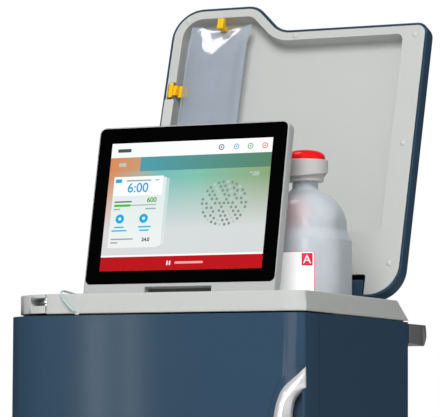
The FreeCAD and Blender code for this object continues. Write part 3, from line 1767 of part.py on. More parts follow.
def make_inside():
    floor = chassis_bottom_z + chassis_wall
    unit_y0 = treatment_y + 40.0
    supply = box(-190, -70, unit_y0, unit_y0 + 150, floor, floor + 90)
    fins = []
    for i in range(9):
        x = -184.0 + 13.0 * i
        fins.append(box(x, x + 3, unit_y0 + 10, unit_y0 + 140, floor + 89, floor + 104))
    keep("power_supply", supply.multiFuse(fins).removeSplitter())
    tank = rod(48.0, (70.0, unit_y0 + 60, floor), Z_AXIS, 240.0)
    tank = bevel_edges(tank, 9.0, lambda edge: flat_at(floor + 240.0, edge))
    tank = tank.fuse(rod(8.0, (70.0, unit_y0 + 60, floor + 239), Z_AXIS, 18.0))
    keep("heater_tank", tank.removeSplitter())
    pumps = []
    for x in (150.0, 190.0):
        motor = rod(17.0, (x, unit_y0 + 10, floor + 40.0), Y_AXIS, 60.0)
        head = box(x - 17, x + 17, unit_y0 - 8, unit_y0 + 11, floor, floor + 57)
        pumps.append(motor.fuse(head).removeSplitter())
    keep("dialysate_pumps", *pumps)

    face = cabinet_depth
    inlet = rod(inlet_radius - running_gap, (inlet_x, face - shell_wall - 18, port_z), Y_AXIS, shell_wall + 18)
    inlet = inlet.fuse(
        prism_y(rectangle(inlet_x - 25, inlet_x + 25, port_z - 25, port_z + 25, 5.0), face, face + 3.0)
    )
    inlet = inlet.cut(
        prism_y(rectangle(inlet_x - 12, inlet_x + 12, port_z - 8, port_z + 8, 3.0), face - 14, face + 4)
    )
    prongs = []
    for x, z in ((-6.0, -2.5), (6.0, -2.5), (0.0, 3.0)):
        prongs.append(box(inlet_x + x - 1, inlet_x + x + 1, face - 14.5, face - 1, port_z + z - 2, port_z + z + 2))
    keep("mains_inlet", inlet.multiFuse(prongs).removeSplitter())
    ports = []
    for x in port_places:
        port = rod(port_radius - running_gap, (x, face - shell_wall - 12, port_z), Y_AXIS, shell_wall + 12)
        nut = prism_y(
            [
                (
                    x + 15.0 * math.cos(math.radians(60 * k)),
                    port_z + 15.0 * math.sin(math.radians(60 * k)),
                    0,
                )
                for k in range(6)
            ],
            face,
            face + 6.0,
        )
        spigot = rod(spigot_radius, (x, face + 5, port_z), Y_AXIS, spigot_reach - 5)
        tip_y = face + spigot_reach
        spigot = spigot.makeChamfer(0.8, [edge for edge in spigot.Edges if abs(middle_of(edge).y - tip_y) < 0.01])
        port = port.multiFuse([nut, spigot])
        port = port.cut(rod(4.5, (x, face - 10, port_z), Y_AXIS, 40))
        ports.append(port.removeSplitter())
    keep("water_ports", *ports)


# Chassis and casters


def make_chassis():
    tray = front_block(
        14.0,
        chassis_bottom_z,
        chassis_top_z,
        cabinet_depth - 12.0,
        cabinet_depth - 12.0,
        [],
    )
    pocket = front_block(
        14.0 + chassis_wall,
        chassis_bottom_z + chassis_wall,
        chassis_top_z + 1,
        cabinet_depth - 12.0 - chassis_wall,
        cabinet_depth - 12.0 - chassis_wall,
        [],
    )
    tray = tray.cut(pocket)
    parts = []
    for x in (-caster_x, caster_x):
        for y in (caster_front_y, caster_rear_y):
            parts.append(rod(socket_radius, (x, y, chassis_bottom_z), Z_AXIS, stem_length + 6))
    tray = tray.multiFuse(parts)
    posts = []
    post_y = door_return + 29
    for x in (-half_width + 27.0, half_width - 51.0):
        post = box(
            x, x + 24, post_y, post_y + 18, chassis_bottom_z + 1, lower_panel_top_z - panel_wall - fit_gap
        )
        channel = box(
            x + 3, x + 21, post_y - 1, post_y + 15, chassis_bottom_z + stem_length + 8, lower_panel_top_z
        )
        posts.append(post.cut(channel))
    tray = tray.multiFuse(posts)
    for x in (-caster_x, caster_x):
        for y in (caster_front_y, caster_rear_y):
            tray = tray.cut(rod(stem_radius + running_gap, (x, y, chassis_bottom_z - 1), Z_AXIS, stem_length + 1.5))
    keep("base_frame", tray.removeSplitter())

    sides = {"left": -caster_x, "right": caster_x}
    ends = {"front": caster_front_y, "rear": caster_rear_y}
    for end, y in ends.items():
        for side, x in sides.items():
            place = end + "_" + side
            make_caster(place, x, y, end == "front")


def make_caster(place, x, y, braked):
    axle_y = y + caster_trail
    leg_in = wheel_width / 2 + fork_gap
    leg_out = leg_in + fork_leg
    crown_z = chassis_bottom_z - 1.0
    stem = rod(stem_radius, (x, y, crown_z - 4), Z_AXIS, stem_length + 4)
    crown = prism_z(
        rectangle(x - leg_out, x + leg_out, y - 18, axle_y + 12, 10.0),
        crown_z - 4,
        crown_z,
    )
    legs = []
    for x0 in (x - leg_out, x + leg_in):
        outline = [
            (y - 12, crown_z - 1, 0),
            (y - 12, crown_z - 14, 4.0),
            (axle_y - 9, wheel_radius - 9, 8.0),
            (axle_y + 9, wheel_radius - 9, 8.0),
            (axle_y + pedal_axis_back + 6, pedal_axis_z - 6, 5.0),
            (axle_y + pedal_axis_back + 6, pedal_axis_z + 6, 5.0),
            (axle_y + 11, crown_z - 1, 0),
        ]
        legs.append(prism_x(outline, x0, x0 + fork_leg))
    axle = rod(axle_radius, (x - leg_out - 1.5, axle_y, wheel_radius), X_AXIS, 2 * leg_out + 3)
    fork = crown.multiFuse([stem] + legs + [axle])
    for x0 in (x - leg_out - 1, x + leg_in - 1):
        if braked:
            fork = fork.cut(
                rod(
                    pedal_pin_radius + running_gap,
                    (x0, axle_y + pedal_axis_back, pedal_axis_z),
                    X_AXIS,
                    fork_leg + 2,
                )
            )
    keep("caster_fork_" + place, fork.removeSplitter())

    half = wheel_width / 2
    rim_radius = wheel_radius - tyre_thickness
    tyre = rod(wheel_radius, (x - half, axle_y, wheel_radius), X_AXIS, wheel_width)
    tyre = bevel_edges(tyre, 3.5, lambda edge: edge.Curve.TypeId == "Part::GeomCircle")
    tyre = tyre.cut(rod(rim_radius, (x - half - 1, axle_y, wheel_radius), X_AXIS, wheel_width + 2))
    hub = rod(rim_radius, (x - half + 1.5, axle_y, wheel_radius), X_AXIS, wheel_width - 3)
    dish = rod(rim_radius - 4, (x - half, axle_y, wheel_radius), X_AXIS, 6.0)
    dish = dish.fuse(rod(rim_radius - 4, (x + half - 6, axle_y, wheel_radius), X_AXIS, 6.0))
    hub = hub.cut(dish)
    hub = hub.fuse(rod(9.0, (x - half - 2, axle_y, wheel_radius), X_AXIS, wheel_width + 4))
    hub = hub.cut(rod(axle_radius + running_gap, (x - half - 3, axle_y, wheel_radius), X_AXIS, wheel_width + 6))
    keep("caster_wheel_" + place, tyre, hub.removeSplitter())

    if braked:
        py = axle_y + pedal_axis_back
        inner = leg_in - 0.4
        barrel = rod(5.0, (x - inner, py, pedal_axis_z), X_AXIS, 2 * inner)
        plate = prism_z(
            rectangle(x - inner, x + inner, py, py + pedal_length, 4.0),
            pedal_axis_z + 1.0,
            pedal_axis_z + 5.0,
        )
        pin = rod(pedal_pin_radius, (x - leg_out, py, pedal_axis_z), X_AXIS, 2 * leg_out)
        keep("brake_pedal_" + place, barrel.multiFuse([plate, pin]).removeSplitter())


# Door pivots: a leaf on the cabinet with a pin into the door's barrel, top and bottom


def make_door_pivots():
    pivots = []
    leaf_reach = 26.0
    for leaf_z0, leaf_z1, pin_z, pin_length in (
        (shell_top_z, deck_z - fit_gap, door_top_z - door_pin_depth + 1, door_pin_depth),
        (door_bottom_z - 4.5, door_bottom_z - 0.5, door_bottom_z - 2, door_pin_depth),
    ):
        leaf = prism_z(
            rectangle(
                -half_width + shell_wall + fit_gap,
                -half_width + shell_wall + fit_gap + leaf_reach,
                door_axis_y - door_barrel_radius,
                shell_left_y + 18.0,
                5.0,
            ),
            leaf_z0,
            leaf_z1,
        )
        pin = rod(door_pin_radius, (door_axis_x, door_axis_y, pin_z), Z_AXIS, pin_length + 1)
        pivots.append(leaf.fuse(pin).removeSplitter())
    keep("door_pivots", *pivots)


# Thin clear tube


def make_tube():
    """Straight runs joined by tangent arcs, each arc as large as its two runs allow."""
    points = [V(*p) for p in tube_route]
    edges = []
    here = points[0]
    radii = []
    for i in range(1, len(points) - 1):
        before = points[i - 1] - points[i]
        after = points[i + 1] - points[i]
        shorter = min(before.Length, after.Length)
        before.normalize()
        after.normalize()
        turn = math.pi - math.acos(max(-1.0, min(1.0, before.dot(after))))
        reach = 0.45 * shorter
        radius = reach / math.tan(turn / 2)
        radii.append(round(radius, 1))
        start = points[i] + before * reach
        end = points[i] + after * reach
        bisector = (before + after).normalize()
        middle = points[i] + bisector * (radius / math.cos(turn / 2) - radius)
        edges.append(Part.makeLine(here, start))
        edges.append(Part.Arc(start, middle, end).toShape())
        here = end
    edges.append(Part.makeLine(here, points[-1]))
    path = Part.Wire(edges)
    tube = pipe_along(path, points[0], points[1] - points[0], tube_diameter / 2)
    keep("line_tube", tube)
    section = math.pi * tube_diameter ** 2 / 4
    print("tube length", round(path.Length, 1), "radii", radii)
    print("tube volume over section times length", round(tube.Volume / (section * path.Length), 4))


catch_x = -162.0
catch_y = 13.0


def build():
    make_door()
    make_cabinet()
    make_deck()
    make_bottle()
    make_display()
    make_lid()
    make_push_handle()
    make_treatment_side()
    make_inside()
    make_chassis()
    make_door_pivots()
    make_tube()


def write():
    """Move everything so that the bounding box stands centred on the origin, and write the files."""
    os.makedirs("parts", exist_ok=True)
    firm = Part.Compound([shape for name, shape in nodes.items() if name != "line_tube"])
    bounds = firm.optimalBoundingBox(False, False)
    shift = V(-(bounds.XMin + bounds.XMax) / 2, -(bounds.YMin + bounds.YMax) / 2, -bounds.ZMin)
    print("shift", round(shift.x, 3), round(shift.y, 3), round(shift.z, 3))
    print("size", round(bounds.XLength, 1), round(bounds.YLength, 1), round(bounds.ZLength, 1))
    for name, shape in nodes.items():
        moved = shape.copy()
        moved.translate(shift)
        if not moved.isValid():
            print("not valid:", name)
        moved.exportStep("parts/" + name + ".step")
    print(len(nodes), "nodes")
    axis_y, axis_z = hinge_point()
    joints = {
        "lid": (0, axis_y, axis_z),
        "tablet": (0, pivot_y, pivot_z),
        "door": (door_axis_x, door_axis_y, door_bottom_z),
        "pump": (pump_x, 0, pump_z),
    }
    for name, place in joints.items():
        print("axis", name, [round(place[k] + shift[k], 3) for k in range(3)])


build()
write()
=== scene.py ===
"""Looks of a compact haemodialysis machine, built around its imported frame."""

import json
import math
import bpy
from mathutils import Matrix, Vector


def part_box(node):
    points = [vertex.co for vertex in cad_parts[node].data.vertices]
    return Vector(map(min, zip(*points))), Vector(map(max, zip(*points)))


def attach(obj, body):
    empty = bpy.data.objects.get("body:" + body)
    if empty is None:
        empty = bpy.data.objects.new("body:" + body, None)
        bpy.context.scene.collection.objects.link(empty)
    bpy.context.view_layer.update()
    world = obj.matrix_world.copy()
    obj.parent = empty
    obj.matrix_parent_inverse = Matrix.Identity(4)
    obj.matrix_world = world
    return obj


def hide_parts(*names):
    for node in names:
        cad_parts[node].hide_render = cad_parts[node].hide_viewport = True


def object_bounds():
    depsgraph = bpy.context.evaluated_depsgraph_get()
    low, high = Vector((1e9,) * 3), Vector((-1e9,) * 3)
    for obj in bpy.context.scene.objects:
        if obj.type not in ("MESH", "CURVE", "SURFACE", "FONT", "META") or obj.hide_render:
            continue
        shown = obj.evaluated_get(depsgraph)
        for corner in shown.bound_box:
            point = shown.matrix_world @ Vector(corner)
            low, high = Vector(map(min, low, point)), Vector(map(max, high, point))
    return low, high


bl_info = {
    "name": "Dialysis machine dressing",
    "version": (1, 0, 0),
    "blender": (4, 5, 0),
    "location": "3D View > Sidebar > Machine",
    "description": "Finishes, screen, bottle, fluid bag and tube of a wheeled dialysis machine",
    "category": "Object",
}

from contextlib import contextmanager

import bmesh
import bpy
from mathutils import Matrix, Vector

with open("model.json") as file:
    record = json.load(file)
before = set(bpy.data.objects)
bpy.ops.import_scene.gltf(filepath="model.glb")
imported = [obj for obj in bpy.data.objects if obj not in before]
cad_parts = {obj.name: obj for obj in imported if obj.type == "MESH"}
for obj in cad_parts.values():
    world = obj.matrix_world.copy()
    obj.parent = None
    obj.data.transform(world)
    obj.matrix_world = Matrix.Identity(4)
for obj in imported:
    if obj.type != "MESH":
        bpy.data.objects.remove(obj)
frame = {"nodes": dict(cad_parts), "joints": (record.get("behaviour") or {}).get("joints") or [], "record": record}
cad_low, cad_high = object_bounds()
nodes = frame["nodes"]
joints = {joint["name"]: joint for joint in frame["joints"]}

body_names = {node: body for body, held in frame["record"]["behaviour"]["bodies"].items() for node in held}

# Sizes that match the part's source, in metres, with leans in radians. The bottle's dome is a sphere close to
# the arc in the source.
crease_drop = 0.009
front_corner_radius = 0.075
deck_height = 0.0273
pull_drop = 0.158
display_lean = math.radians(11.8)
display_middle_x = 0.0265
lid_lean = math.radians(16.6)
lid_foot_y = 0.330
bottle_half = 0.0605
bottle_corner = 0.046
bottle_ledge_inset = 0.0064
bottle_dome_radius = 0.06049
bottle_dome_centre = 0.11723
bottle_neck_radius = 0.018
collar_foot = 0.1868

# The source builds from the plane of the front's right-hand crease, behind the deck band's front face.
build_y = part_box("deck_tray")[0].y + crease_drop
deck_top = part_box("corner_block")[1].z
deck_z = deck_top - deck_height
display_pivot = Vector(joints["display_tilt"]["pos_m"])
lid_foot = Vector((0.0, build_y + lid_foot_y, deck_top))
bottle_low, bottle_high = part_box("bottle")
bottle_centre = (bottle_low + bottle_high) / 2

# The clear tube's points, with y from the crease's plane and z from the deck's underside.
tube_route = [
    (-0.1285, 0.0760, 0.0254),
    (-0.1280, 0.0540, 0.0264),
    (-0.1274, 0.0300, 0.0288),
    (-0.1272, 0.0080, 0.0310),
    (-0.1272, -0.0065, 0.0316),
    (-0.1262, -0.0136, 0.0270),
    (-0.1210, -0.0136, 0.0190),
    (-0.1120, -0.0136, 0.0090),
    (-0.1045, -0.0120, 0.0024),
    (-0.1025, -0.0045, 0.0014),
]


# Helpers for modelling


def deselect():
    if bpy.context.object and bpy.context.object.mode != "OBJECT":
        bpy.ops.object.mode_set(mode="OBJECT")
    bpy.ops.object.select_all(action="DESELECT")


def only(obj):
    deselect()
    obj.select_set(True)
    bpy.context.view_layer.objects.active = obj
    return obj


@contextmanager
def editing(obj):
    """Edit mode on one object, with all of its mesh selected."""
    only(obj)
    bpy.ops.object.mode_set(mode="EDIT")
    bpy.ops.mesh.select_all(action="SELECT")
    yield
    bpy.ops.object.mode_set(mode="OBJECT")


def settle(obj):
    """Put the object's place into its mesh."""
    only(obj)
    bpy.ops.object.transform_apply(location=True, rotation=True, scale=True)
    return obj


def set_at(obj, matrix):
    obj.matrix_world = matrix @ obj.matrix_world
    return settle(obj)


def moved_to(obj, place):
    obj.location = place
    return settle(obj)


def smooth(obj, angle=35.0):
    only(obj)
    bpy.ops.object.shade_smooth_by_angle(angle=math.radians(angle))
    return obj


def apply_all(obj):
    only(obj)
    for modifier in list(obj.modifiers):
        bpy.ops.object.modifier_apply(modifier=modifier.name)
    return obj


def join(name, pieces):
    deselect()
    for piece in pieces:
        piece.select_set(True)
    bpy.context.view_layer.objects.active = pieces[0]
    if len(pieces) > 1:
        bpy.ops.object.join()
    joined = bpy.context.view_layer.objects.active
    joined.name = name
    joined.data.name = name
    return joined


def paint(obj, finish):
    obj.data.materials.clear()
    obj.data.materials.append(bpy.data.materials[finish])
    return obj


def dress(obj, name, body, hides=()):
    obj.name = name
    obj.data.name = name
    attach(obj, body)
    if hides:
        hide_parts(*hides)
    return obj


def display_matrix():
    """From the display's own upright frame, with its pivot at the origin, to the leaning display."""
    return Matrix.Translation(display_pivot) @ Matrix.Rotation(-display_lean, 4, "X")


def lid_matrix():
    """From the lid's own upright frame, with its foot line at the origin, to the leaning lid."""
    return Matrix.Translation(lid_foot) @ Matrix.Rotation(-lid_lean, 4, "X")


def copy_of(obj):
    """A second object with its own mesh."""
    twin = obj.copy()
    twin.data = obj.data.copy()
    bpy.context.scene.collection.objects.link(twin)
    return twin


def new_object(name, data):
    obj = bpy.data.objects.new(name, data)
    bpy.context.scene.collection.objects.link(obj)
    return obj


def from_bmesh(name, skin):
    """An object whose mesh is a finished bmesh."""
    mesh = bpy.data.meshes.new(name)
    skin.to_mesh(mesh)
    skin.free()
    return new_object(name, mesh)


def smooth_copy(name, angle=32.0):
    """Stand a merged and smoothly shaded copy in for a CAD node whose curves show their flats."""
    twin = copy_of(nodes[name])
    twin.parent = None
    twin.matrix_world = Matrix.Identity(4)
    with editing(twin):
        bpy.ops.mesh.remove_doubles(threshold=0.000002)
    smooth(twin, angle)
    twin.modifiers.new("Weighted normals", "WEIGHTED_NORMAL").keep_sharp = True
    apply_all(twin)
    dress(twin, name + "_skin", body_names[name], (name,))
    return twin


def mesh_piece(name, rows, finish, closed_rows=False, angle=35.0):
    """A closed skin through rows of points; each row is a loop round the piece, and the ends are capped."""
    skin = bmesh.new()
    loops = [[skin.verts.new(point) for point in row] for row in rows]
    pairs = list(zip(loops, loops[1:]))
    if closed_rows:
        pairs.append((loops[-1], loops[0]))
    for first, second in pairs:
        count = len(first)
        for k in range(count):
            skin.faces.new((first[k], first[(k + 1) % count], second[(k + 1) % count], second[k]))
    if not closed_rows:
        skin.faces.new(loops[0])
        skin.faces.new(loops[-1])
    bmesh.ops.recalc_face_normals(skin, faces=skin.faces)
    if skin.calc_volume(signed=True) < 0:
        bmesh.ops.reverse_faces(skin, faces=skin.faces)
    return smooth(paint(from_bmesh(name, skin), finish), angle)


def eased(points, share):
    """A point on the smooth curve through the given points, from the first at 0 to the last at 1."""
    place = share * (len(points) - 1)
    k = min(int(place), len(points) - 2)
    t = place - k
    before = points[max(k - 1, 0)]
    after = points[min(k + 2, len(points) - 1)]
    values = []
    for a, b, c, d in zip(before, points[k], points[k + 1], after):
        bend = (2 * a - 5 * b + 4 * c - d) * t * t + (3 * b - a - 3 * c + d) * t ** 3
        values.append(b + 0.5 * ((c - a) * t + bend))
    return tuple(values)


def block(low, high, bevel, finish):
    """A rounded bar between two corners."""
    deselect()
    centre = (Vector(low) + Vector(high)) / 2
    bpy.ops.mesh.primitive_cube_add(size=1.0, location=centre)
    bar = bpy.context.object
    bar.scale = Vector(high) - Vector(low)
    with editing(settle(bar)):
        bpy.ops.mesh.bevel(offset=bevel, segments=4, affect="EDGES")
    return paint(smooth(bar), finish)


def turned(rings, finish, segments=32):
    """A round piece built ring by ring along +Z from (radius, height) pairs."""
    deselect()
    radius, height = rings[0]
    start = (0, 0, height)
    bpy.ops.mesh.primitive_circle_add(vertices=segments, radius=radius, fill_type="NGON", location=start)
    piece = settle(bpy.context.object)
    with editing(piece):
        for (low_radius, low), (high_radius, high) in zip(rings, rings[1:]):
            bpy.ops.mesh.extrude_region_move(TRANSFORM_OT_translate={"value": (0, 0, high - low)})
            share = high_radius / low_radius
            bpy.ops.transform.resize(value=(share, share, 1), center_override=(0, 0, high))
        bpy.ops.mesh.select_all(action="SELECT")
        bpy.ops.mesh.normals_make_consistent(inside=False)
    return paint(smooth(piece), finish)


def disc(x, z, radius, lift, finish, y=0.0, vertices=32):
    """A thin round plate that faces the operator."""
    deselect()
    upright = {"rotation": (math.pi / 2, 0, 0), "location": (x, y - lift, z)}
    bpy.ops.mesh.primitive_circle_add(vertices=vertices, radius=radius, fill_type="NGON", **upright)
    return paint(settle(bpy.context.object), finish)


def card(x, z, width, height, radius, lift, thick, finish, y=0.0):
    """A thin upright plate with rounded corners that faces the operator."""
    deselect()
    bpy.ops.mesh.primitive_plane_add(size=1.0, location=(x, y - lift, z), rotation=(math.pi / 2, 0, 0))
    plate = bpy.context.object
    plate.scale = (width, height, 1.0)
    settle(plate)
    if radius > 0:
        with editing(plate):
            bpy.ops.mesh.bevel(offset=radius, segments=6, affect="VERTICES")
    if thick > 0:
        with editing(plate):
            bpy.ops.mesh.extrude_region_move(TRANSFORM_OT_translate={"value": (0, thick, 0)})
            bpy.ops.mesh.select_all(action="SELECT")
            bpy.ops.mesh.normals_make_consistent(inside=False)
    return paint(plate, finish)


def words(text, x, z, size, lift, finish, y=0.0, thin=False):
    """Raised figures that face the operator, centred on x."""
    deselect()
    bpy.ops.object.text_add(location=(x, y - lift, z), rotation=(math.pi / 2, 0, 0))
    figures = bpy.context.object
    figures.data.body = text
    figures.data.size = size
    figures.data.align_x = "CENTER"
    figures.data.extrude = 0.00002
    figures.data.offset = 0.0 if thin else 0.0003
    bpy.ops.object.convert(target="MESH")
    return paint(settle(bpy.context.object), finish)


# Materials


def linear(colour):
    """From a colour as a screen shows it, 0 to 255, to the linear values that the shader takes."""
    values = []
    for part in colour:
        part = part / 255.0
        values.append(part / 12.92 if part <= 0.04045 else ((part + 0.055) / 1.055) ** 2.4)
    return (*values, 1.0)


def new_material(name):
    """The node tree and the shader of a new material."""
    material = bpy.data.materials.new(name)
    material.use_nodes = True
    return material.node_tree, material.node_tree.nodes["Principled BSDF"]


def feed(node, **inputs):
    """Link each input that is given a socket, and set the others on the node itself."""
    for key, value in inputs.items():
        socket = node.inputs[key.replace("_", " ")]
        if isinstance(value, bpy.types.NodeSocket):
            node.id_data.links.new(value, socket)
        else:
            socket.default_value = value
    return node


def add(tree, kind, **inputs):
    return feed(tree.nodes.new(kind), **inputs)


def grain(tree, scale, detail=3.0, rough=0.55, stretch=None):
    """Noise on Object coordinates, stretched where the finish has a direction."""
    source = add(tree, "ShaderNodeTexCoord").outputs["Object"]
    if stretch:
        source = add(tree, "ShaderNodeMapping", Vector=source, Scale=stretch).outputs["Vector"]
    noise = add(tree, "ShaderNodeTexNoise", Vector=source, Scale=scale, Detail=detail, Roughness=rough)
    return noise.outputs["Fac"]


def ramp(tree, source, stops):
    node = add(tree, "ShaderNodeValToRGB", Fac=source)
    elements = node.color_ramp.elements
    while len(elements) < len(stops):
        elements.new(0.5)
    for element, (place, colour) in zip(elements, stops):
        element.position = place
        element.color = colour
    return node.outputs["Color"]


def tones(tree, source, colour, *stops):
    """Darker and lighter tones of one colour, from (place, factor) pairs."""
    base = linear(colour)[:3]
    shades = [(place, (*[min(1.0, part * factor) for part in base], 1.0)) for place, factor in stops]
    return ramp(tree, source, shades)


def spread(tree, source, low, high, start=0.0, end=1.0):
    """A value that goes from low to high as the source goes from start to end."""
    limits = {"From_Min": start, "From_Max": end, "To_Min": low, "To_Max": high}
    return add(tree, "ShaderNodeMapRange", Value=source, **limits).outputs["Result"]


def bump(tree, shader, source, strength, distance, edge=0.0):
    node = add(tree, "ShaderNodeBump", Height=source, Strength=strength, Distance=distance)
    if edge > 0:
        rounded = add(tree, "ShaderNodeBevel", Radius=edge)
        rounded.samples = 4
        feed(node, Normal=rounded.outputs["Normal"])
    feed(shader, Normal=node.outputs["Normal"])


def mixed(tree, factor, first, second):
    """The first colour, a socket, turning into the second, a fixed colour, as the factor rises."""
    mix = add(tree, "ShaderNodeMix")
    mix.data_type = "RGBA"
    mix.inputs[7].default_value = linear(second)
    tree.links.new(first, mix.inputs[6])
    return feed(mix, Factor=factor).outputs[2]


def moulded(name, colour, rough, texture, variation, metal=0.0, coat=0.0, edge=0.0006, fine=900.0, gloss=0.3):
    """A moulded or sprayed surface: faint mottling, fine bump and roughness that drifts."""
    tree, shader = new_material(name)
    broad = grain(tree, 7.0, 4.0)
    bump(tree, shader, grain(tree, fine, 2.0), texture, 0.0002, edge)
    return feed(
        shader,
        Base_Color=tones(tree, broad, colour, (0.3, 1 - variation), (0.7, 1 + variation)),
        Roughness=spread(tree, broad, rough - 0.05, rough + 0.05),
        Metallic=metal,
        Specular_IOR_Level=gloss,
        Coat_Weight=coat,
        Coat_Roughness=0.08,
    )


def brushed(name, colour, rough, along):
    """Metal with fine lines drawn along one axis."""
    tree, shader = new_material(name)
    stretch = [400.0, 400.0, 400.0]
    stretch["XYZ".index(along)] = 8.0
    lines = grain(tree, 1.0, 4.0, 0.7, stretch)
    bump(tree, shader, lines, 0.15, 0.0001, 0.0004)
    colours = tones(tree, lines, colour, (0.35, 0.86), (0.65, 1.06))
    drift = spread(tree, lines, rough - 0.08, rough + 0.1)
    return feed(shader, Base_Color=colours, Roughness=drift, Metallic=1.0)


def clear_plastic(name, colour, rough, cover, coat=0.0, through=0.0):
    """Clear or milky plastic with faint streaks; cover is how much it hides of what lies behind it."""
    tree, shader = new_material(name)
    streaks = grain(tree, 30.0, 3.0)
    bump(tree, shader, streaks, 0.08, 0.0004)
    return feed(
        shader,
        Base_Color=tones(tree, streaks, colour, (0.3, 0.95), (0.7, 1.03)),
        Roughness=spread(tree, streaks, rough, rough + 0.06),
        Alpha=cover,
        Transmission_Weight=through,
        IOR=1.4,
        Coat_Weight=coat,
        Coat_Roughness=0.04,
    )


def bottle_with_painted_cap_light(name, colour, glow, centre, reach):
    """Milky plastic with a soft painted patch near one point, standing for the red cap's light showing through it.
    """
    shader = clear_plastic(name, colour, 0.3, 1.0, coat=0.12, through=0.06)
    tree = shader.id_data
    plain = shader.inputs["Base Color"].links[0].from_socket
    place = add(tree, "ShaderNodeTexCoord")
    apart = add(tree, "ShaderNodeVectorMath", Vector=place.outputs["Object"])
    apart.operation = "DISTANCE"
    apart.inputs[1].default_value = centre
    # Painted light: the red cap's light, strongest at the centre and gone by the reach.
    fade = spread(tree, apart.outputs["Value"], 0.45, 0.0, 0.0, reach)
    fade.node.interpolation_type = "SMOOTHSTEP"
    feed(shader, Base_Color=mixed(tree, fade, plain, glow))


def wheel_finish(name, centre, hub):
    """Tyre rubber, with a darker tone for a hub that is told apart by its distance from a point."""
    tree, shader = new_material(name)
    place = add(tree, "ShaderNodeTexCoord").outputs["Object"]
    shift = add(tree, "ShaderNodeMapping", Vector=place, Location=-centre, Scale=(0, 1, 1))
    size = add(tree, "ShaderNodeVectorMath", Vector=shift.outputs["Vector"])
    size.operation = "LENGTH"
    tyre = spread(tree, size.outputs["Value"], 0.0, 1.0, hub - 0.0004, hub + 0.0004)
    bump(tree, shader, grain(tree, 700.0, 3.0), 0.4, 0.0002, 0.0006)
    colours = ramp(tree, tyre, [(0.0, linear((52, 54, 58))), (1.0, linear((98, 101, 106)))])
    feed(shader, Base_Color=colours, Roughness=spread(tree, tyre, 0.4, 0.75))


def lit(name, stops, along, strength):
    """A lit part of the picture on the screen, coloured by a ramp across its own UV map."""
    tree, shader = new_material(name)
    uv = add(tree, "ShaderNodeUVMap").outputs["UV"]
    axes = add(tree, "ShaderNodeSeparateXYZ", Vector=uv)
    return feed(
        shader,
        Emission_Color=ramp(tree, axes.outputs[along], [(place, linear(colour)) for place, colour in stops]),
        Emission_Strength=strength,
        Base_Color=(0.002, 0.002, 0.002, 1),
        Roughness=0.3,
        Specular_IOR_Level=0.05,
    )


class MachineSettings(bpy.types.PropertyGroup):
    """Sizes and colours that a user would change."""

    blue: bpy.props.FloatVectorProperty(
        name="Cabinet blue",
        description="Colour of the painted cabinet, door and lid shell, as a screen shows it",
        size=3,
        default=(50, 74, 95),
        min=0,
        max=255,
    )
    grey: bpy.props.FloatVectorProperty(
        name="Moulding grey",
        description="Colour of the deck, the lid's lining and the handles, as a screen shows it",
        size=3,
        default=(196, 198, 196),
        min=0,
        max=255,
    )
    label_height: bpy.props.FloatProperty(
        name="Label height",
        description="Height of the bottle's label",
        default=0.118,
        min=0.02,
        max=0.15,
        unit="LENGTH",
    )
    screen_strength: bpy.props.FloatProperty(
        name="Screen strength",
        description="How strongly the display's picture glows",
        default=1.0,
        min=0.0,
        max=5.0,
    )


def settings():
    return bpy.context.scene.machine_settings


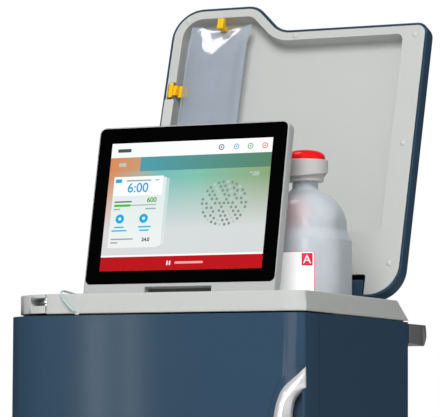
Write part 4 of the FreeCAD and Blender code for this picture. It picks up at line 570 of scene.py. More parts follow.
def finishes():
    """The materials of the object, made once."""
    if "Cabinet paint" in bpy.data.materials:
        return
    blue = tuple(settings().blue)
    grey = tuple(settings().grey)
    moulded("Cabinet paint", blue, 0.42, 0.1, 0.02, coat=0.16, edge=0.0015, gloss=0.03)
    moulded("Lid paint", blue, 0.45, 0.1, 0.02, coat=0.05, edge=0.0008, gloss=0.1)
    moulded("Blue plastic", blue, 0.5, 0.2, 0.03, gloss=0.1)
    moulded("Grey moulding", grey, 0.48, 0.1, 0.015)
    moulded("Deck moulding", grey, 0.48, 0.1, 0.015, edge=0.0035)
    moulded("Pale moulding", tuple(min(255, part + 8) for part in grey), 0.46, 0.1, 0.015)
    moulded("Satin handle", (150, 152, 154), 0.34, 0.06, 0.02, metal=0.55)
    moulded("Display case", (190, 191, 191), 0.4, 0.08, 0.015)
    moulded("Yellow plastic", (255, 196, 10), 0.28, 0.05, 0.03, coat=0.3)
    moulded("Red cap", (244, 14, 14), 0.35, 0.08, 0.03, coat=0.3)
    moulded("Collar grey", (200, 199, 197), 0.45, 0.1, 0.015)
    moulded("Black plastic", (26, 26, 28), 0.5, 0.3, 0.1)
    moulded("White moulding", (224, 226, 228), 0.42, 0.12, 0.02)
    moulded("Seal rubber", (18, 18, 20), 0.75, 0.5, 0.15)
    moulded("Sheet metal", (150, 154, 158), 0.45, 0.25, 0.05, metal=0.3)
    brushed("Steel", (168, 170, 173), 0.3, "X")
    brushed("Steel upright", (168, 170, 173), 0.3, "Z")
    brushed("Aluminium", (190, 192, 195), 0.35, "X")
    moulded("Polished chrome", (222, 224, 228), 0.12, 0.02, 0.03, metal=1.0)
    clear_plastic("Clear tube", (196, 220, 220), 0.1, 0.8, coat=0.5)
    clear_plastic("Filter casing", (214, 196, 192), 0.12, 0.6, coat=0.5)
    # Centre of the painted patch of the red cap's light, on the bottle's shoulder.
    shoulder = (bottle_centre.x + 0.002, bottle_low.y + 0.014, deck_z + 0.140)
    bottle_with_painted_cap_light("Milky bottle", (204, 211, 216), (226, 158, 160), shoulder, 0.042)
    clear_plastic("Bag film", (182, 192, 206), 0.1, 0.55, coat=1.0)
    moulded("Polished pull", (236, 237, 237), 0.2, 0.02, 0.01, metal=0.45, coat=0.6)
    # Dark grey for cards of painted shade, in the clip's pocket and the display's foot slot.
    moulded("Slot shade", (96, 96, 94), 0.6, 0.1, 0.03)
    moulded("Port plastic", (222, 228, 232), 0.3, 0.05, 0.02, coat=0.4)
    moulded("Label crimson", (224, 12, 58), 0.4, 0.03, 0.01, edge=0.0)
    moulded("Label white", (250, 250, 250), 0.4, 0.03, 0.005, edge=0.0)
    moulded("Label ink", (120, 124, 130), 0.5, 0.03, 0.01, edge=0.0)
    paper = moulded("Glowing label paper", (250, 250, 251), 0.42, 0.04, 0.006, edge=0.0, fine=500.0)
    # The label paper glows faintly: painted light that keeps it bright in the display's shade.
    feed(paper, Emission_Strength=0.25)
    moulded("Label rose", (236, 104, 128), 0.42, 0.03, 0.01, edge=0.0)
    tree, shader = new_material("Display glass")
    smears = grain(tree, 12.0, 3.0)
    blacks = [(0.3, (0.0004, 0.0004, 0.0005, 1)), (0.7, (0.0008, 0.0008, 0.001, 1))]
    colours = ramp(tree, smears, blacks)
    feed(shader, Base_Color=colours, Roughness=spread(tree, smears, 0.14, 0.2), Specular_IOR_Level=0.05)


finish_nodes = {
    "Sheet metal": "base_frame treatment_panel",
    "Cabinet paint": "cabinet_shell rear_service_panel lower_front_panel lid_hinge_brackets door_shell",
    "Lid paint": "lid_shell",
    "Deck moulding": "deck_tray",
    "Grey moulding": "bottle_well lid_liner",
    "Pale moulding": "corner_block lid_screws flange_cover door_liner door_handle",
    "White moulding": "pump_housing filter_clips",
    "Display case": "tablet_case",
    "Display glass": "tablet_glass",
    "Satin handle": "push_handle",
    "Blue plastic": "handle_pads",
    "Yellow plastic": "bag_hook bag_side_clip",
    "Black plastic": "line_clamp_blocks air_detector dialysate_pumps mains_inlet display_panel",
    "Seal rubber": "door_gasket",
    "Polished chrome": "lid_catch_pin",
    "Steel": "lid_hinge_pins tablet_hinge_pins water_ports pump_roller_left pump_roller_right "
    "artery_clamp_plunger vein_clamp_plunger",
    "Steel upright": "door_pivots heater_tank",
    "Aluminium": "tablet_hinge_ears power_supply pump_rotor",
    "Clear tube": "pump_tube line_tube",
    "Filter casing": "blood_filter",
    "Bag film": "saline_bag",
    "Milky bottle": "bottle",
    "Collar grey": "bottle_collar",
    "Red cap": "bottle_cap",
}
node_finish = {node: finish for finish, held in finish_nodes.items() for node in held.split()}
hub_radius = 0.026


class MACHINE_OT_finishes(bpy.types.Operator):
    """Give every part of the frame its finish"""

    bl_idname = "machine.finishes"
    bl_label = "Finishes"

    def execute(self, context):
        finishes()
        for name, node in nodes.items():
            finish = node_finish.get(name, "Black plastic")
            if name.startswith("caster_wheel_"):
                low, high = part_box(name)
                finish = "Tyre and hub " + name.removeprefix("caster_wheel_")
                wheel_finish(finish, (low + high) / 2, hub_radius)
            paint(node, finish)
        return {"FINISHED"}


class MACHINE_OT_line(bpy.types.Operator):
    """Lay the thin clear tube over the deck's front edge"""

    bl_idname = "machine.line"
    bl_label = "Clear tube"

    def execute(self, context):
        finishes()
        curve = bpy.data.curves.new("clear_line", "CURVE")
        curve.dimensions = "3D"
        spline = curve.splines.new("NURBS")
        spline.points.add(len(tube_route) - 1)
        for point, (x, y, z) in zip(spline.points, tube_route):
            point.co = (x, y + build_y, z + deck_z, 1.0)
        spline.order_u = 3
        spline.use_endpoint_u = True
        spline.resolution_u = 12
        curve.bevel_depth = 0.0015
        curve.bevel_resolution = 4
        curve.use_fill_caps = True
        line = new_object("clear_line", curve)
        paint(line, "Clear tube")
        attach(line, "cabinet")
        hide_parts("line_tube")
        x, y, z = tube_route[0]
        return {"FINISHED"}


# The plane of the bag's seams, in the lid's frame.
bag_middle = 0.0040


def bag_outline():
    """The bag's edges in the lid's frame, in metres: left, right, bottom and top as functions of a share."""

    def through(points):
        """A smooth curve through (share, value) points."""

        def value(share):
            for (a, p), (b, q) in zip(points, points[1:]):
                if share <= b:
                    k = (share - a) / (b - a)
                    return p + (q - p) * k * k * (3 - 2 * k)
            return points[-1][1]

        return value

    left = through([(0, -0.1585), (0.12, -0.1605), (0.85, -0.1602), (1, -0.1580)])
    right = through([(0, -0.0570), (0.12, -0.0562), (0.6, -0.0590), (0.86, -0.0592), (1, -0.0548)])
    bottom = through([(0, 0.1640), (0.14, 0.1592), (0.5, 0.1580), (0.86, 0.1592), (1, 0.1640)])
    top = through([(0, 0.4520), (0.14, 0.4510), (0.42, 0.4442), (0.6, 0.4436), (0.82, 0.4472), (1, 0.4520)])
    return left, right, bottom, top


class MACHINE_OT_bag(bpy.types.Operator):
    """Hang the soft clear fluid bag in the lid"""

    bl_idname = "machine.bag"
    bl_label = "Fluid bag"

    def execute(self, context):
        finishes()
        left, right, bottom, top = bag_outline()
        across, along = 34, 72
        weld_left, weld_right = 0.055, 0.885
        half = 0.0145

        def fullness(u, v):
            """Half the bag's thickness as a share, from its seams to its middle."""
            side = min(1.0, max(0.0, (u - weld_left) / (weld_right - weld_left)))
            across_share = max(0.0, 1 - abs(2 * side - 1) ** 2.3) ** 0.62
            foot = min(1.0, max(0.0, (v - 0.035) / 0.16))
            head = min(1.0, max(0.0, (0.985 - v) / 0.24))
            if head == 0:
                return 0.0
            head_share = 0.06 + 0.94 * math.sin(head * math.pi / 2)
            return across_share * math.sin(foot * math.pi / 2) ** 0.7 * head_share

        film = bmesh.new()
        rows = {}
        for j in range(along + 1):
            for i in range(across + 1):
                u, v = i / across, j / along
                x = left(v) + (right(v) - left(v)) * u
                s = bottom(u) + (top(u) - bottom(u)) * v
                thick = half * fullness(u, v)
                edge = i in (0, across) or j in (0, along)
                apart = 0.0 if edge else thick + 0.0003
                front = film.verts.new((x, bag_middle - apart, s))
                back = front if edge else film.verts.new((x, bag_middle + apart, s))
                rows[i, j] = (front, back)
        for j in range(along):
            for i in range(across):
                corners = [rows[i, j], rows[i + 1, j], rows[i + 1, j + 1], rows[i, j + 1]]
                film.faces.new([corner[0] for corner in corners])
                film.faces.new([corner[1] for corner in reversed(corners)])
        bag = from_bmesh("fluid_bag", film)
        self.fill(context, bag)
        finer = bag.modifiers.new("Smooth film", "SUBSURF")
        finer.levels = finer.render_levels = 1
        apply_all(bag)
        smooth(bag, 180)
        paint(bag, "Bag film")
        set_at(bag, lid_matrix())
        dress(bag, "fluid_bag", "lid", ("saline_bag",))

        profile = [(0.0030, 0.170), (0.0030, 0.164), (0.0042, 0.1635)]
        profile += [(0.0042, 0.1605), (0.0034, 0.160), (0.0034, 0.157)]
        stubs = [moved_to(turned(profile, "Port plastic", 24), (x, bag_middle, 0)) for x in (-0.126, -0.094)]
        ports = join("bag_ports", stubs)
        set_at(ports, lid_matrix())
        dress(ports, "bag_ports", "lid")
        return {"FINISHED"}

    def fill(self, context, bag):
        """Let the film swell a little under the fluid, with its welded edges held."""
        furthest = 0.004
        start = [vertex.co.copy() for vertex in bag.data.vertices]
        held = bag.vertex_groups.new(name="welds")
        left, right = min(point.x for point in start), max(point.x for point in start)
        for vertex in bag.data.vertices:
            if abs(vertex.co.y - bag_middle) < 0.0004:
                held.add([vertex.index], 1.0, "REPLACE")
        only(bag)
        cloth = bag.modifiers.new("Cloth", "CLOTH")
        cloth.settings.use_pressure = True
        cloth.settings.uniform_pressure_force = 4.0
        cloth.settings.effector_weights.gravity = 0.0
        cloth.settings.vertex_group_mass = "welds"
        cloth.settings.quality = 6
        for number in range(1, 21):
            context.scene.frame_set(number)
        bpy.ops.object.modifier_apply(modifier=cloth.name)
        context.scene.frame_set(1)
        for vertex, place in zip(bag.data.vertices, start):
            moved = vertex.co - place
            if moved.length > furthest:
                moved *= furthest / moved.length
            vertex.co = place + moved
            vertex.co.x = min(max(vertex.co.x, left), right)
            vertex.co.y = min(max(vertex.co.y, -0.0118), 0.0208)


def on_bottle(along, lift):
    """The point at a distance along the bottle's outline from the middle of its front, looking from above."""
    flat = bottle_half - bottle_corner
    turn = max(0.0, abs(along) - flat) / bottle_corner
    out = bottle_corner + lift
    x = math.copysign(min(abs(along), flat) + out * math.sin(turn), along)
    return bottle_centre.x + x, bottle_centre.y - flat - out * math.cos(turn)


def wrap(obj):
    """Bend a flat piece, drawn around x = 0 and facing -Y, round the front of the bottle."""
    for vertex in obj.data.vertices:
        vertex.co.x, vertex.co.y = on_bottle(vertex.co.x, -vertex.co.y)
    return obj


class MACHINE_OT_label(bpy.types.Operator):
    """Stick the paper label on the bottle"""

    bl_idname = "machine.label"
    bl_label = "Bottle label"

    def execute(self, context):
        finishes()
        tall = settings().label_height
        wide = 0.0788
        top = deck_z + 0.0863
        middle = top - tall / 2
        patches = [
            card(0, middle, wide, tall, 0.0040, 0.0003, 0, "Label rose"),
            card(0, middle, wide - 0.0026, tall - 0.0016, 0.0034, 0.0004, 0, "Glowing label paper"),
            card(0.0285, top - 0.0110, 0.0152, 0.0172, 0.0010, 0.0005, 0, "Label crimson"),
            card(0, top - tall + 0.016, 0.066, 0.006, 0.0008, 0.0005, 0, "Label crimson"),
            words("A", 0.0285, top - 0.0166, 0.0168, 0.0006, "Label white", thin=True),
        ]
        for row, length in enumerate((0.012, 0.018, 0.015, 0.017, 0.013)):
            z = top - 0.018 - 0.010 * row
            patches.append(card(-0.034 + length / 2, z, length, 0.0022, 0.0008, 0.0005, 0, "Label ink"))
        label = join("bottle_label", [wrap(self.strips(patch)) for patch in patches])
        smooth(label, 30)
        dress(label, "bottle_label", "drug_bottle")
        return {"FINISHED"}

    def strips(self, patch, step=0.0024):
        """Cut a flat patch into upright strips, so that it bends round the bottle."""
        reach = [vertex.co.x for vertex in patch.data.vertices]
        low, high = min(reach), max(reach)
        count = int((high - low) / step)
        with editing(patch):
            for number in range(1, count):
                bpy.ops.mesh.select_all(action="SELECT")
                bpy.ops.mesh.bisect(plane_co=(low + (high - low) * number / count, 0, 0), plane_no=(1, 0, 0))
        return patch


class MACHINE_OT_closure(bpy.types.Operator):
    """Round the red cap and give the collar its spiral step"""

    bl_idname = "machine.closure"
    bl_label = "Bottle cap and collar"

    def execute(self, context):
        finishes()
        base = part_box("bottle_collar")[1].z
        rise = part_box("bottle_cap")[1].z - base
        profile = [(0.0200, -0.004), (0.0200, 0.0), (0.0279, 0.0), (0.0279, 0.0036), (0.0273, 0.0064)]
        profile += [(0.0254, 0.0090), (0.0216, 0.0114), (0.0150, 0.0134), (0.0076, 0.0143), (0.0010, 0.0146)]
        share = rise / profile[-1][1]
        rings = [(radius, base + height * share) for radius, height in profile]
        cap = smooth(turned(rings, "Red cap", 64), 50)
        moved_to(cap, (bottle_centre.x, bottle_centre.y, 0))
        dress(cap, "round_cap", "drug_bottle", ("bottle_cap",))

        # The collar's upper ring hangs lower towards the left, in a slow spiral.
        low = deck_z + collar_foot
        steps = 96
        rows = []
        for number in range(steps):
            turn = number / steps
            share = (0.11 - turn) % 1.0
            fall = min(1.0, share / 0.38)
            fall = 0.0066 * fall * fall * (3 - 2 * fall) * min(1.0, (1 - share) / 0.06)
            profile = [(0.0185, 0.0), (0.0250, 0.0), (0.0259, 0.0009), (0.0259, 0.0125 - fall)]
            profile += [(0.0309, 0.0125 - fall), (0.0317, 0.0134 - fall), (0.0317, 0.0288)]
            profile += [(0.0306, 0.0300), (0.0185, 0.0300)]
            across, back = math.cos(math.tau * turn), math.sin(math.tau * turn)
            x, y = bottle_centre.x, bottle_centre.y
            rows.append([(x + radius * across, y + radius * back, low + z) for radius, z in profile])
        collar = mesh_piece("spiral_collar", rows, "Collar grey", closed_rows=True)
        dress(collar, "spiral_collar", "drug_bottle", ("bottle_collar",))
        return {"FINISHED"}


class MACHINE_OT_bottle(bpy.types.Operator):
    """Blow-moulded bottle whose square body turns smoothly into its round dome"""

    bl_idname = "machine.bottle"
    bl_label = "Bottle"

    def execute(self, context):
        finishes()
        steps = 96
        floor = bottle_low.z - deck_z
        upper = bottle_half - bottle_ledge_inset
        levels = [(floor, 0.0540), (floor + 0.0010, 0.0572), (floor + 0.0034, 0.0597)]
        levels += [(z, bottle_half) for z in (floor + 0.0070, 0.03, 0.07, 0.1030)]
        levels += [(0.1056, 0.0602), (0.1074, 0.0594)]
        levels += [(0.1110, 0.0578), (0.1150, 0.0560), (0.1184, 0.0546), (0.1204, upper), (0.1230, upper)]
        levels += [(0.1230 + 0.0026 * number, upper) for number in range(1, 20)]
        levels += [(z, upper) for z in (0.1748, 0.1756, 0.1780, 0.1860, 0.1990)]
        rows = []
        for z, half in levels:
            dome = self.dome(z)
            rows.append([self.outline(math.tau * k / steps, half, dome, z) for k in range(steps)])
        bottle = mesh_piece("moulded_bottle", rows, "Milky bottle", angle=50)
        dress(bottle, "moulded_bottle", "drug_bottle", ("bottle",))
        return {"FINISHED"}

    def dome(self, z):
        """The dome's radius at a height over the deck's underside, with the neck's foot eased into it."""
        shoulder, neck_foot, neck = 0.117, 0.1730, 0.1760
        if z <= shoulder:
            return math.inf
        if z > neck:
            return bottle_neck_radius
        sphere = math.sqrt(max(0.0, bottle_dome_radius**2 - (z - bottle_dome_centre) ** 2))
        return max(sphere, bottle_neck_radius + 0.004 * max(0.0, 1 - (z - neck_foot) / 0.004))

    def outline(self, turn, half, dome, z):
        """A rounded square that eases into a circle where the dome is narrower than the square."""
        across, back = math.cos(turn), math.sin(turn)
        major, minor = max(abs(across), abs(back)), min(abs(across), abs(back))
        corner = bottle_corner * half / bottle_half
        flat = half - corner
        reach = half / major
        if reach * minor > flat:
            along = flat * (major + minor)
            reach = along + math.sqrt(max(0.0, along * along - 2 * flat * flat + corner * corner))
        if dome < math.inf:
            reach = (reach**-26 + dome**-26) ** (-1 / 26)
        return bottle_centre.x + reach * across, bottle_centre.y + reach * back, deck_z + z


class MACHINE_OT_pull(bpy.types.Operator):
    """Polished pull at the door's edge, on a flush blue seat"""

    bl_idname = "machine.pull"
    bl_label = "Door pull"

    def execute(self, context):
        finishes()
        steps = 80
        centre_z = deck_z - pull_drop
        edge_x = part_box("door_shell")[1].x - 0.0002
        outer = [(0.0, 0.0840), (-0.0110, 0.0728), (-0.0291, 0.0558), (-0.0382, 0.0374), (-0.0425, 0.0176)]
        ridge = [(0.0, 0.0594), (-0.0138, 0.0518), (-0.0253, 0.0400), (-0.0312, 0.0250), (-0.0326, 0.0120)]
        inner = [(0.0, 0.0552), (-0.0095, 0.0492), (-0.0165, 0.0400), (-0.0196, 0.0270), (-0.0204, 0.0140)]
        for line, reach in ((outer, 0.0436), (ridge, 0.0330), (inner, 0.0206)):
            line.append((-reach, 0.0))
        paths = [line + [(x, -z) for x, z in reversed(line[:-1])] for line in (outer, ridge, inner)]
        rows = []
        for number in range(steps + 1):
            side, crest, hollow = [Vector(eased(path, number / steps)) for path in paths]
            profile = []
            for (x, z), y in (
                (side, 0.0005),
                (side, -0.0104),
                (side.lerp(crest, 0.08), -0.0112),
                (side.lerp(crest, 0.5), -0.0130),
                (crest, -0.0138),
                (crest.lerp(hollow, 0.3), -0.0128),
                (crest.lerp(hollow, 0.9), -0.0076),
                (hollow, -0.0060),
                (hollow, 0.0005),
            ):
                profile.append((edge_x + x, build_y + max(-0.0139, y + self.setback(x)), centre_z + z))
            rows.append(profile)
        pull = mesh_piece("polished_pull", rows, "Polished pull", angle=60)
        dress(pull, "polished_pull", "door", ("door_handle",))

        rows = []
        seat_reach, seat_half = 0.0519, 0.0859
        flush = 0.0001 - crease_drop
        for number in range(steps + 1):
            turn = math.pi * number / steps
            ix, iz = eased(paths[1], number / steps)
            x, z = -seat_reach * math.sin(turn), seat_half * math.cos(turn)
            line = [(x, z), ((x + ix) / 2, (z + iz) / 2), (ix, iz)]
            front = [(edge_x + px, build_y + flush + self.setback(px), centre_z + pz) for px, pz in line]
            behind = [(edge_x + px, build_y - 0.0005, centre_z + pz) for px, pz in reversed(line)]
            rows.append(front + behind)
        seat = mesh_piece("pull_seat", rows, "Cabinet paint")
        dress(seat, "pull_seat", "door")
        return {"FINISHED"}

    def setback(self, x):
        """How far the door's rounded front corner has turned back at a distance left of its edge."""
        radius = front_corner_radius
        start = math.sqrt(radius**2 - (radius - crease_drop) ** 2)
        run = max(0.0, x + start)
        return radius - math.sqrt(radius**2 - min(run, radius) ** 2)


class MACHINE_OT_trims(bpy.types.Operator):
    """Bag clip, cards of painted shade in the clip's pocket and the display's foot slot, and the tube's grommet"""

    bl_idname = "machine.trims"
    bl_label = "Clip, slot and grommet"

    def execute(self, context):
        finishes()
        s = 0.344  # the clip's height up the lid
        bars = []
        for left, right, near, far, half, bevel in (
            (-0.1782, -0.1708, -0.0050, -0.0002, 0.0120, 0.0020),
            (-0.1725, -0.1640, -0.0016, -0.0002, 0.0080, 0.0005),
            (-0.1667, -0.1639, -0.0016, 0.0070, 0.0080, 0.0006),
            (-0.1667, -0.1500, 0.0048, 0.0070, 0.0095, 0.0010),
        ):
            bars.append(block((left, near, s - half), (right, far, s + half), bevel, "Yellow plastic"))
        clip = join("rounded_clip", bars)
        set_at(clip, lid_matrix())
        dress(clip, "rounded_clip", "lid", ("bag_side_clip",))

        # A dark card of painted shade in the flange's pocket round the clip.
        pocket = card(-0.1742, s - 0.001, 0.0132, 0.0300, 0.0040, 0.00005, 0.00004, "Slot shade")
        set_at(pocket, lid_matrix())
        dress(pocket, "clip_pocket_painted_shade", "lid")

        # A dark card of painted shade at the back of the display's foot slot.
        slot_x = display_middle_x - display_pivot.x
        back = card(slot_x, 0.0070, 0.1000, 0.0076, 0.0008, -0.0040, 0.0006, "Slot shade")
        set_at(back, display_matrix())
        dress(back, "foot_slot_painted_shade", "display")

        profile = [(0.0050, 0.0), (0.0052, 0.0003), (0.0048, 0.0009), (0.0020, 0.0009)]
        ring = turned(profile, "Grey moulding", 32)
        ring.rotation_euler = (math.pi / 2, 0, 0)
        moved_to(ring, (tube_route[-1][0] + 0.0002, build_y - crease_drop, deck_z + 0.0032))
        dress(ring, "tube_grommet", "cabinet")
        return {"FINISHED"}


class MACHINE_OT_skins(bpy.types.Operator):
    """Smooth the curved mouldings that show"""

    bl_idname = "machine.skins"
    bl_label = "Smooth mouldings"

    def execute(self, context):
        curved = "cabinet_shell deck_tray corner_block lid_shell lid_catch_pin push_handle"
        for name in (*curved.split(), "door_shell", "tablet_case", "bag_hook"):
            smooth_copy(name)
        smooth_copy("lid_liner", 12)
        return {"FINISHED"}


# Colours of the picture, as a screen shows them.
plain_tones = {
    "white": (250, 252, 252),
    "blue": (30, 170, 220),
    "green": (70, 190, 25),
    "leaf": (96, 168, 92),
    "dark": (70, 82, 88),
    "grey": (150, 165, 170),
    "heart": (232, 84, 62),
    "red": (188, 18, 26),
    "rose": (238, 170, 172),
    "stone": (132, 148, 142),
    "mist": (184, 200, 194),
}
blended_tones = {
    "pale": ("Y", (0.0, (240, 244, 243)), (1.0, (222, 238, 234))),
    "veil": ("Y", (0.0, (226, 232, 231)), (1.0, (184, 218, 216))),
    "band": ("X", (0.0, (80, 158, 172)), (0.5, (86, 148, 140)), (1.0, (90, 135, 105))),
    "orange": ("X", (0.0, (222, 140, 88)), (1.0, (206, 156, 116))),
}

# Plates of the picture: left, right, top and bottom edges as shares of the lit area from its top left corner,
# corner radius in metres, layer and colour.
screen_plates = (
    (0, 1, 0, 1, 0, 0, "ground"),
    (0, 1, 0, 0.113, 0, 1, "white"),
    (0.04, 0.125, 0.045, 0.072, 0.0014, 2, "dark"),
    (0, 0.19, 0.113, 0.225, 0, 1, "orange"),
    (0.19, 1, 0.113, 0.225, 0, 1, "band"),
    (0.055, 0.10, 0.156, 0.184, 0.0012, 2, "mist"),
    (0.08, 0.385, 0.285, 0.80, 0.001, 1, "veil"),
    (0.06, 0.365, 0.275, 0.81, 0.001, 2, "pale"),
    (0.035, 0.345, 0.265, 0.82, 0.0008, 3, "pale"),
    (0.035, 0.345, 0.265, 0.415, 0.0008, 4, "white"),
    (0.045, 0.085, 0.283, 0.312, 0.0008, 5, "blue"),
    (0.295, 0.32, 0.293, 0.301, 0.0005, 5, "blue"),
    (0.115, 0.27, 0.292, 0.303, 0.0008, 5, "grey"),
    (0.05, 0.16, 0.457, 0.467, 0.0006, 5, "dark"),
    (0.05, 0.155, 0.482, 0.500, 0.0014, 5, "green"),
    (0.155, 0.315, 0.487, 0.494, 0, 4, "grey"),
    (0.05, 0.09, 0.515, 0.525, 0.0006, 5, "grey"),
    (0.25, 0.315, 0.515, 0.525, 0.0006, 5, "grey"),
    (0.065, 0.125, 0.655, 0.666, 0.0006, 5, "blue"),
    (0.05, 0.145, 0.682, 0.693, 0.0006, 5, "blue"),
    (0.215, 0.295, 0.655, 0.666, 0.0006, 5, "blue"),
    (0.225, 0.285, 0.682, 0.693, 0.0006, 5, "blue"),
    (0.05, 0.19, 0.748, 0.759, 0.0006, 5, "grey"),
    (0.05, 0.095, 0.775, 0.786, 0.0006, 5, "grey"),
    (0.0, 1.0, 0.878, 0.892, 0, 1, "white"),
    (0.0, 1.0, 0.892, 1.0, 0, 2, "red"),
    (0.415, 0.423, 0.928, 0.962, 0.0006, 3, "white"),
    (0.431, 0.439, 0.928, 0.962, 0.0006, 3, "white"),
    (0.465, 0.64, 0.936, 0.953, 0.0014, 3, "rose"),
)


class MACHINE_OT_screen(bpy.types.Operator):
    """Lay the lit picture on the display's glass"""

    bl_idname = "machine.screen"
    bl_label = "Screen picture"

    def execute(self, context):
        glow = settings().screen_strength
        bottom = 0.034
        width, height = 0.246, 0.1845
        front = -0.0094
        left = display_middle_x - width / 2 - display_pivot.x
        top = bottom + height

        for name, shown in plain_tones.items():
            brighter = tuple(min(255, part * 1.03) for part in shown)
            lit("Lit " + name, [(0.0, shown), (1.0, brighter)], "X", glow)
        for name, (along, *stops) in blended_tones.items():
            lit("Lit " + name, stops, along, glow)
        self.ground(glow)

        def layer(number):
            """How far a numbered layer of the picture stands off the glass."""
            return number * 0.00002 + 0.00004

        def at(u0, u1, v0, v1, radius, lift, tone):
            x, z = left + (u0 + u1) / 2 * width, top - (v0 + v1) / 2 * height
            across, tall = (u1 - u0) * width, (v1 - v0) * height
            return card(x, z, across, tall, radius, layer(lift), 0, "Lit " + tone, front)

        def figures(text, u, v, size, tone):
            return words(text, left + u * width, top - v * height, size, 0.00018, "Lit " + tone, front)

        def spot(u, v, radius, lift, tone, vertices=32):
            x, z = left + u * width, top - v * height
            return disc(x, z, radius, layer(lift), "Lit " + tone, front, vertices)

        plates = [at(*row) for row in screen_plates]
        plates += [
            figures("6:00", 0.19, 0.388, 0.0190, "blue"),
            figures("600", 0.285, 0.470, 0.0100, "leaf"),
            figures("24.0", 0.270, 0.772, 0.0070, "dark"),
            figures("9:00", 0.905, 0.290, 0.0085, "mist"),
            spot(0.095, 0.595, 0.0066, 5, "blue"),
            spot(0.245, 0.595, 0.0066, 5, "blue"),
            spot(0.095, 0.595, 0.0022, 6, "white", 16),
            spot(0.245, 0.595, 0.0022, 6, "white", 16),
        ]
        for u, tone in ((0.688, "dark"), (0.78, "blue"), (0.866, "leaf"), (0.955, "heart")):
            plates.append(spot(u, 0.060, 0.0042, 3, tone, 24))
            plates.append(spot(u, 0.060, 0.0030, 4, "white", 24))
            plates.append(spot(u, 0.060, 0.0012, 5, tone, 16))
        # A round field of grey dots in even rings.
        first = spot(0.735, 0.495, 0.0021, 2, "stone", 14)
        step = 0.0061
        for ring in range(1, 6):
            for place in range(6 * ring):
                turn = math.tau * place / (6 * ring)
                dot = copy_of(first)
                moved_to(dot, (ring * step * math.cos(turn) * 1.08, 0, ring * step * math.sin(turn)))
                plates.append(paint(dot, "Lit stone" if (place + ring) % 3 else "Lit mist"))
        plates.append(first)
        shown = join("screen_picture", plates)
        set_at(shown, display_matrix())
        dress(shown, "screen_picture", "display")
        return {"FINISHED"}

    def ground(self, glow):
        """The picture's ground: warm to teal to green across, paling to grey towards its foot."""
        stops = [(0.0, (216, 146, 104)), (0.14, (196, 168, 146)), (0.32, (120, 192, 188))]
        stops += [(0.55, (128, 196, 176)), (0.80, (140, 180, 146)), (1.0, (140, 168, 122))]
        shader = lit("Lit ground", stops, "X", glow)
        tree = shader.id_data
        across = shader.inputs["Emission Color"].links[0].from_socket
        axes = across.node.inputs["Fac"].links[0].from_node
        amount = ramp(tree, axes.outputs["Y"], [(0.32, (0.92, 0.92, 0.92, 1)), (0.72, (0, 0, 0, 1))])
        feed(shader, Emission_Color=mixed(tree, amount, across, (222, 223, 225)))


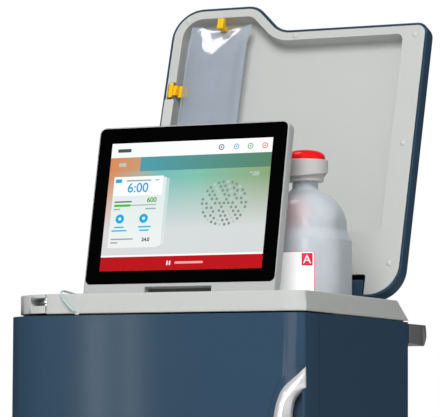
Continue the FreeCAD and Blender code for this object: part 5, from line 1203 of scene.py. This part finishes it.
class MACHINE_OT_stage(bpy.types.Operator):
    """Pale floor, soft lights and the camera"""

    bl_idname = "machine.stage"
    bl_label = "Stage"

    def execute(self, context):
        deselect()
        floor_place = (0, 0, cad_low.z)
        bpy.ops.mesh.primitive_grid_add(x_subdivisions=8, y_subdivisions=8, size=14.0, location=floor_place)
        floor = bpy.context.object
        floor.name = "pale_floor"
        moulded("Pale floor", (236, 236, 236), 0.7, 0.02, 0.01, edge=0.0)
        paint(floor, "Pale floor")

        scene = context.scene
        scene.view_settings.view_transform = "Standard"
        world = bpy.data.worlds.new("Studio")
        world.use_nodes = True
        tree = world.node_tree
        plain = (1, 1, 1, 1)
        sides = add(tree, "ShaderNodeTexCoord").outputs["Generated"]
        axes = add(tree, "ShaderNodeSeparateXYZ", Vector=sides).outputs
        around = spread(tree, axes["X"], 0.10, 0.38, -1.0, 0.1)
        mirrored = spread(tree, axes["Y"], 0.13, 0.02, -0.2, 0.6)
        source = feed(tree.nodes["Background"], Color=plain, Strength=around).outputs[0]
        path = add(tree, "ShaderNodeLightPath")
        for ray, strength in (("Is Glossy Ray", mirrored), ("Is Camera Ray", 1.0)):
            seen = add(tree, "ShaderNodeBackground", Color=plain, Strength=strength)
            mix = add(tree, "ShaderNodeMixShader", Fac=path.outputs[ray])
            tree.links.new(source, mix.inputs[1])
            tree.links.new(seen.outputs[0], mix.inputs[2])
            source = mix.outputs[0]
        feed(tree.nodes["World Output"], Surface=source)
        scene.world = world

        def soft_light(name, place, target, size, watts, diffuse=True):
            deselect()
            bpy.ops.object.light_add(type="AREA", location=place)
            light = bpy.context.object
            light.name = name
            light.data.shape = "RECTANGLE"
            light.data.size, light.data.size_y = size
            light.data.energy = watts
            light.visible_diffuse = diffuse
            direction = Vector(target) - Vector(place)
            light.rotation_mode = "QUATERNION"
            light.rotation_quaternion = direction.to_track_quat("-Z", "Y")

        soft_light("key", (0.75, -3.0, 3.3), (0, 0, 0.85), (2.0, 2.0), 128)
        soft_light("right_fill", (3.2, -0.6, 1.4), (0, 0, 0.8), (1.6, 1.6), 3)
        soft_light("film_gleam", (-1.07, -0.62, 3.92), (-0.107, 0.19, 1.2), (0.5, 1.2), 26, False)
        soft_light("corner_gleam", (0.30, -2.9, 0.9), (-0.02, -0.25, 0.75), (1.1, 1.5), 30, False)
        for number, x in enumerate((-1.404, -1.312)):
            target = (x * 0.14, -0.25, 0.7)
            soft_light(f"strip_{number}", (x, -2.8, 0.9), target, (0.045, 1.6), 3.5 - number, False)
        bpy.data.objects["key"].visible_glossy = False

        azimuth, rise, roll = math.radians(25.081), math.radians(4.426), math.radians(0.265)
        place = Vector((1.7528, build_y - 3.51383, 0.6283))
        focal_px, frame_px, sensor = 2900, 440, 36.0
        level = math.cos(rise)
        ahead = Vector((-math.sin(azimuth) * level, math.cos(azimuth) * level, math.sin(rise)))
        right = Vector((math.cos(azimuth), math.sin(azimuth), 0.0))
        up = right.cross(ahead)
        right_rolled = math.cos(roll) * right + math.sin(roll) * up
        up_rolled = -math.sin(roll) * right + math.cos(roll) * up
        deselect()
        bpy.ops.object.camera_add()
        camera = bpy.context.object
        turn = Matrix((right_rolled, up_rolled, -ahead)).transposed()
        camera.matrix_world = Matrix.Translation(place) @ turn.to_4x4()
        camera.data.sensor_width = sensor
        camera.data.lens = focal_px * sensor / frame_px
        camera.data.clip_end = 60.0
        scene.camera = camera
        return {"FINISHED"}


class MACHINE_PT_panel(bpy.types.Panel):
    """Shows the machine's settings and a button for each step that builds it"""

    bl_idname = "MACHINE_PT_panel"
    bl_label = "Machine"
    bl_space_type = "VIEW_3D"
    bl_region_type = "UI"
    bl_category = "Machine"

    def draw(self, context):
        column = self.layout.column()
        for name in ("blue", "grey", "label_height", "screen_strength"):
            column.prop(settings(), name)
        for operator in operators:
            column.operator(operator.bl_idname)


operators = (
    MACHINE_OT_stage,
    MACHINE_OT_line,
    MACHINE_OT_finishes,
    MACHINE_OT_skins,
    MACHINE_OT_bag,
    MACHINE_OT_bottle,
    MACHINE_OT_closure,
    MACHINE_OT_label,
    MACHINE_OT_pull,
    MACHINE_OT_trims,
    MACHINE_OT_screen,
)
classes = (MachineSettings, *operators, MACHINE_PT_panel)


def register():
    for kind in classes:
        bpy.utils.register_class(kind)
    bpy.types.Scene.machine_settings = bpy.props.PointerProperty(type=MachineSettings)


def unregister():
    del bpy.types.Scene.machine_settings
    for kind in reversed(classes):
        bpy.utils.unregister_class(kind)


def main():
    register()
    bpy.ops.machine.stage()
    bpy.ops.machine.line()
    bpy.ops.machine.finishes()
    bpy.ops.machine.skins()
    bpy.ops.machine.bag()
    bpy.ops.machine.bottle()
    bpy.ops.machine.closure()
    bpy.ops.machine.label()
    bpy.ops.machine.pull()
    bpy.ops.machine.trims()
    bpy.ops.machine.screen()


if __name__ == "__main__":
    main()
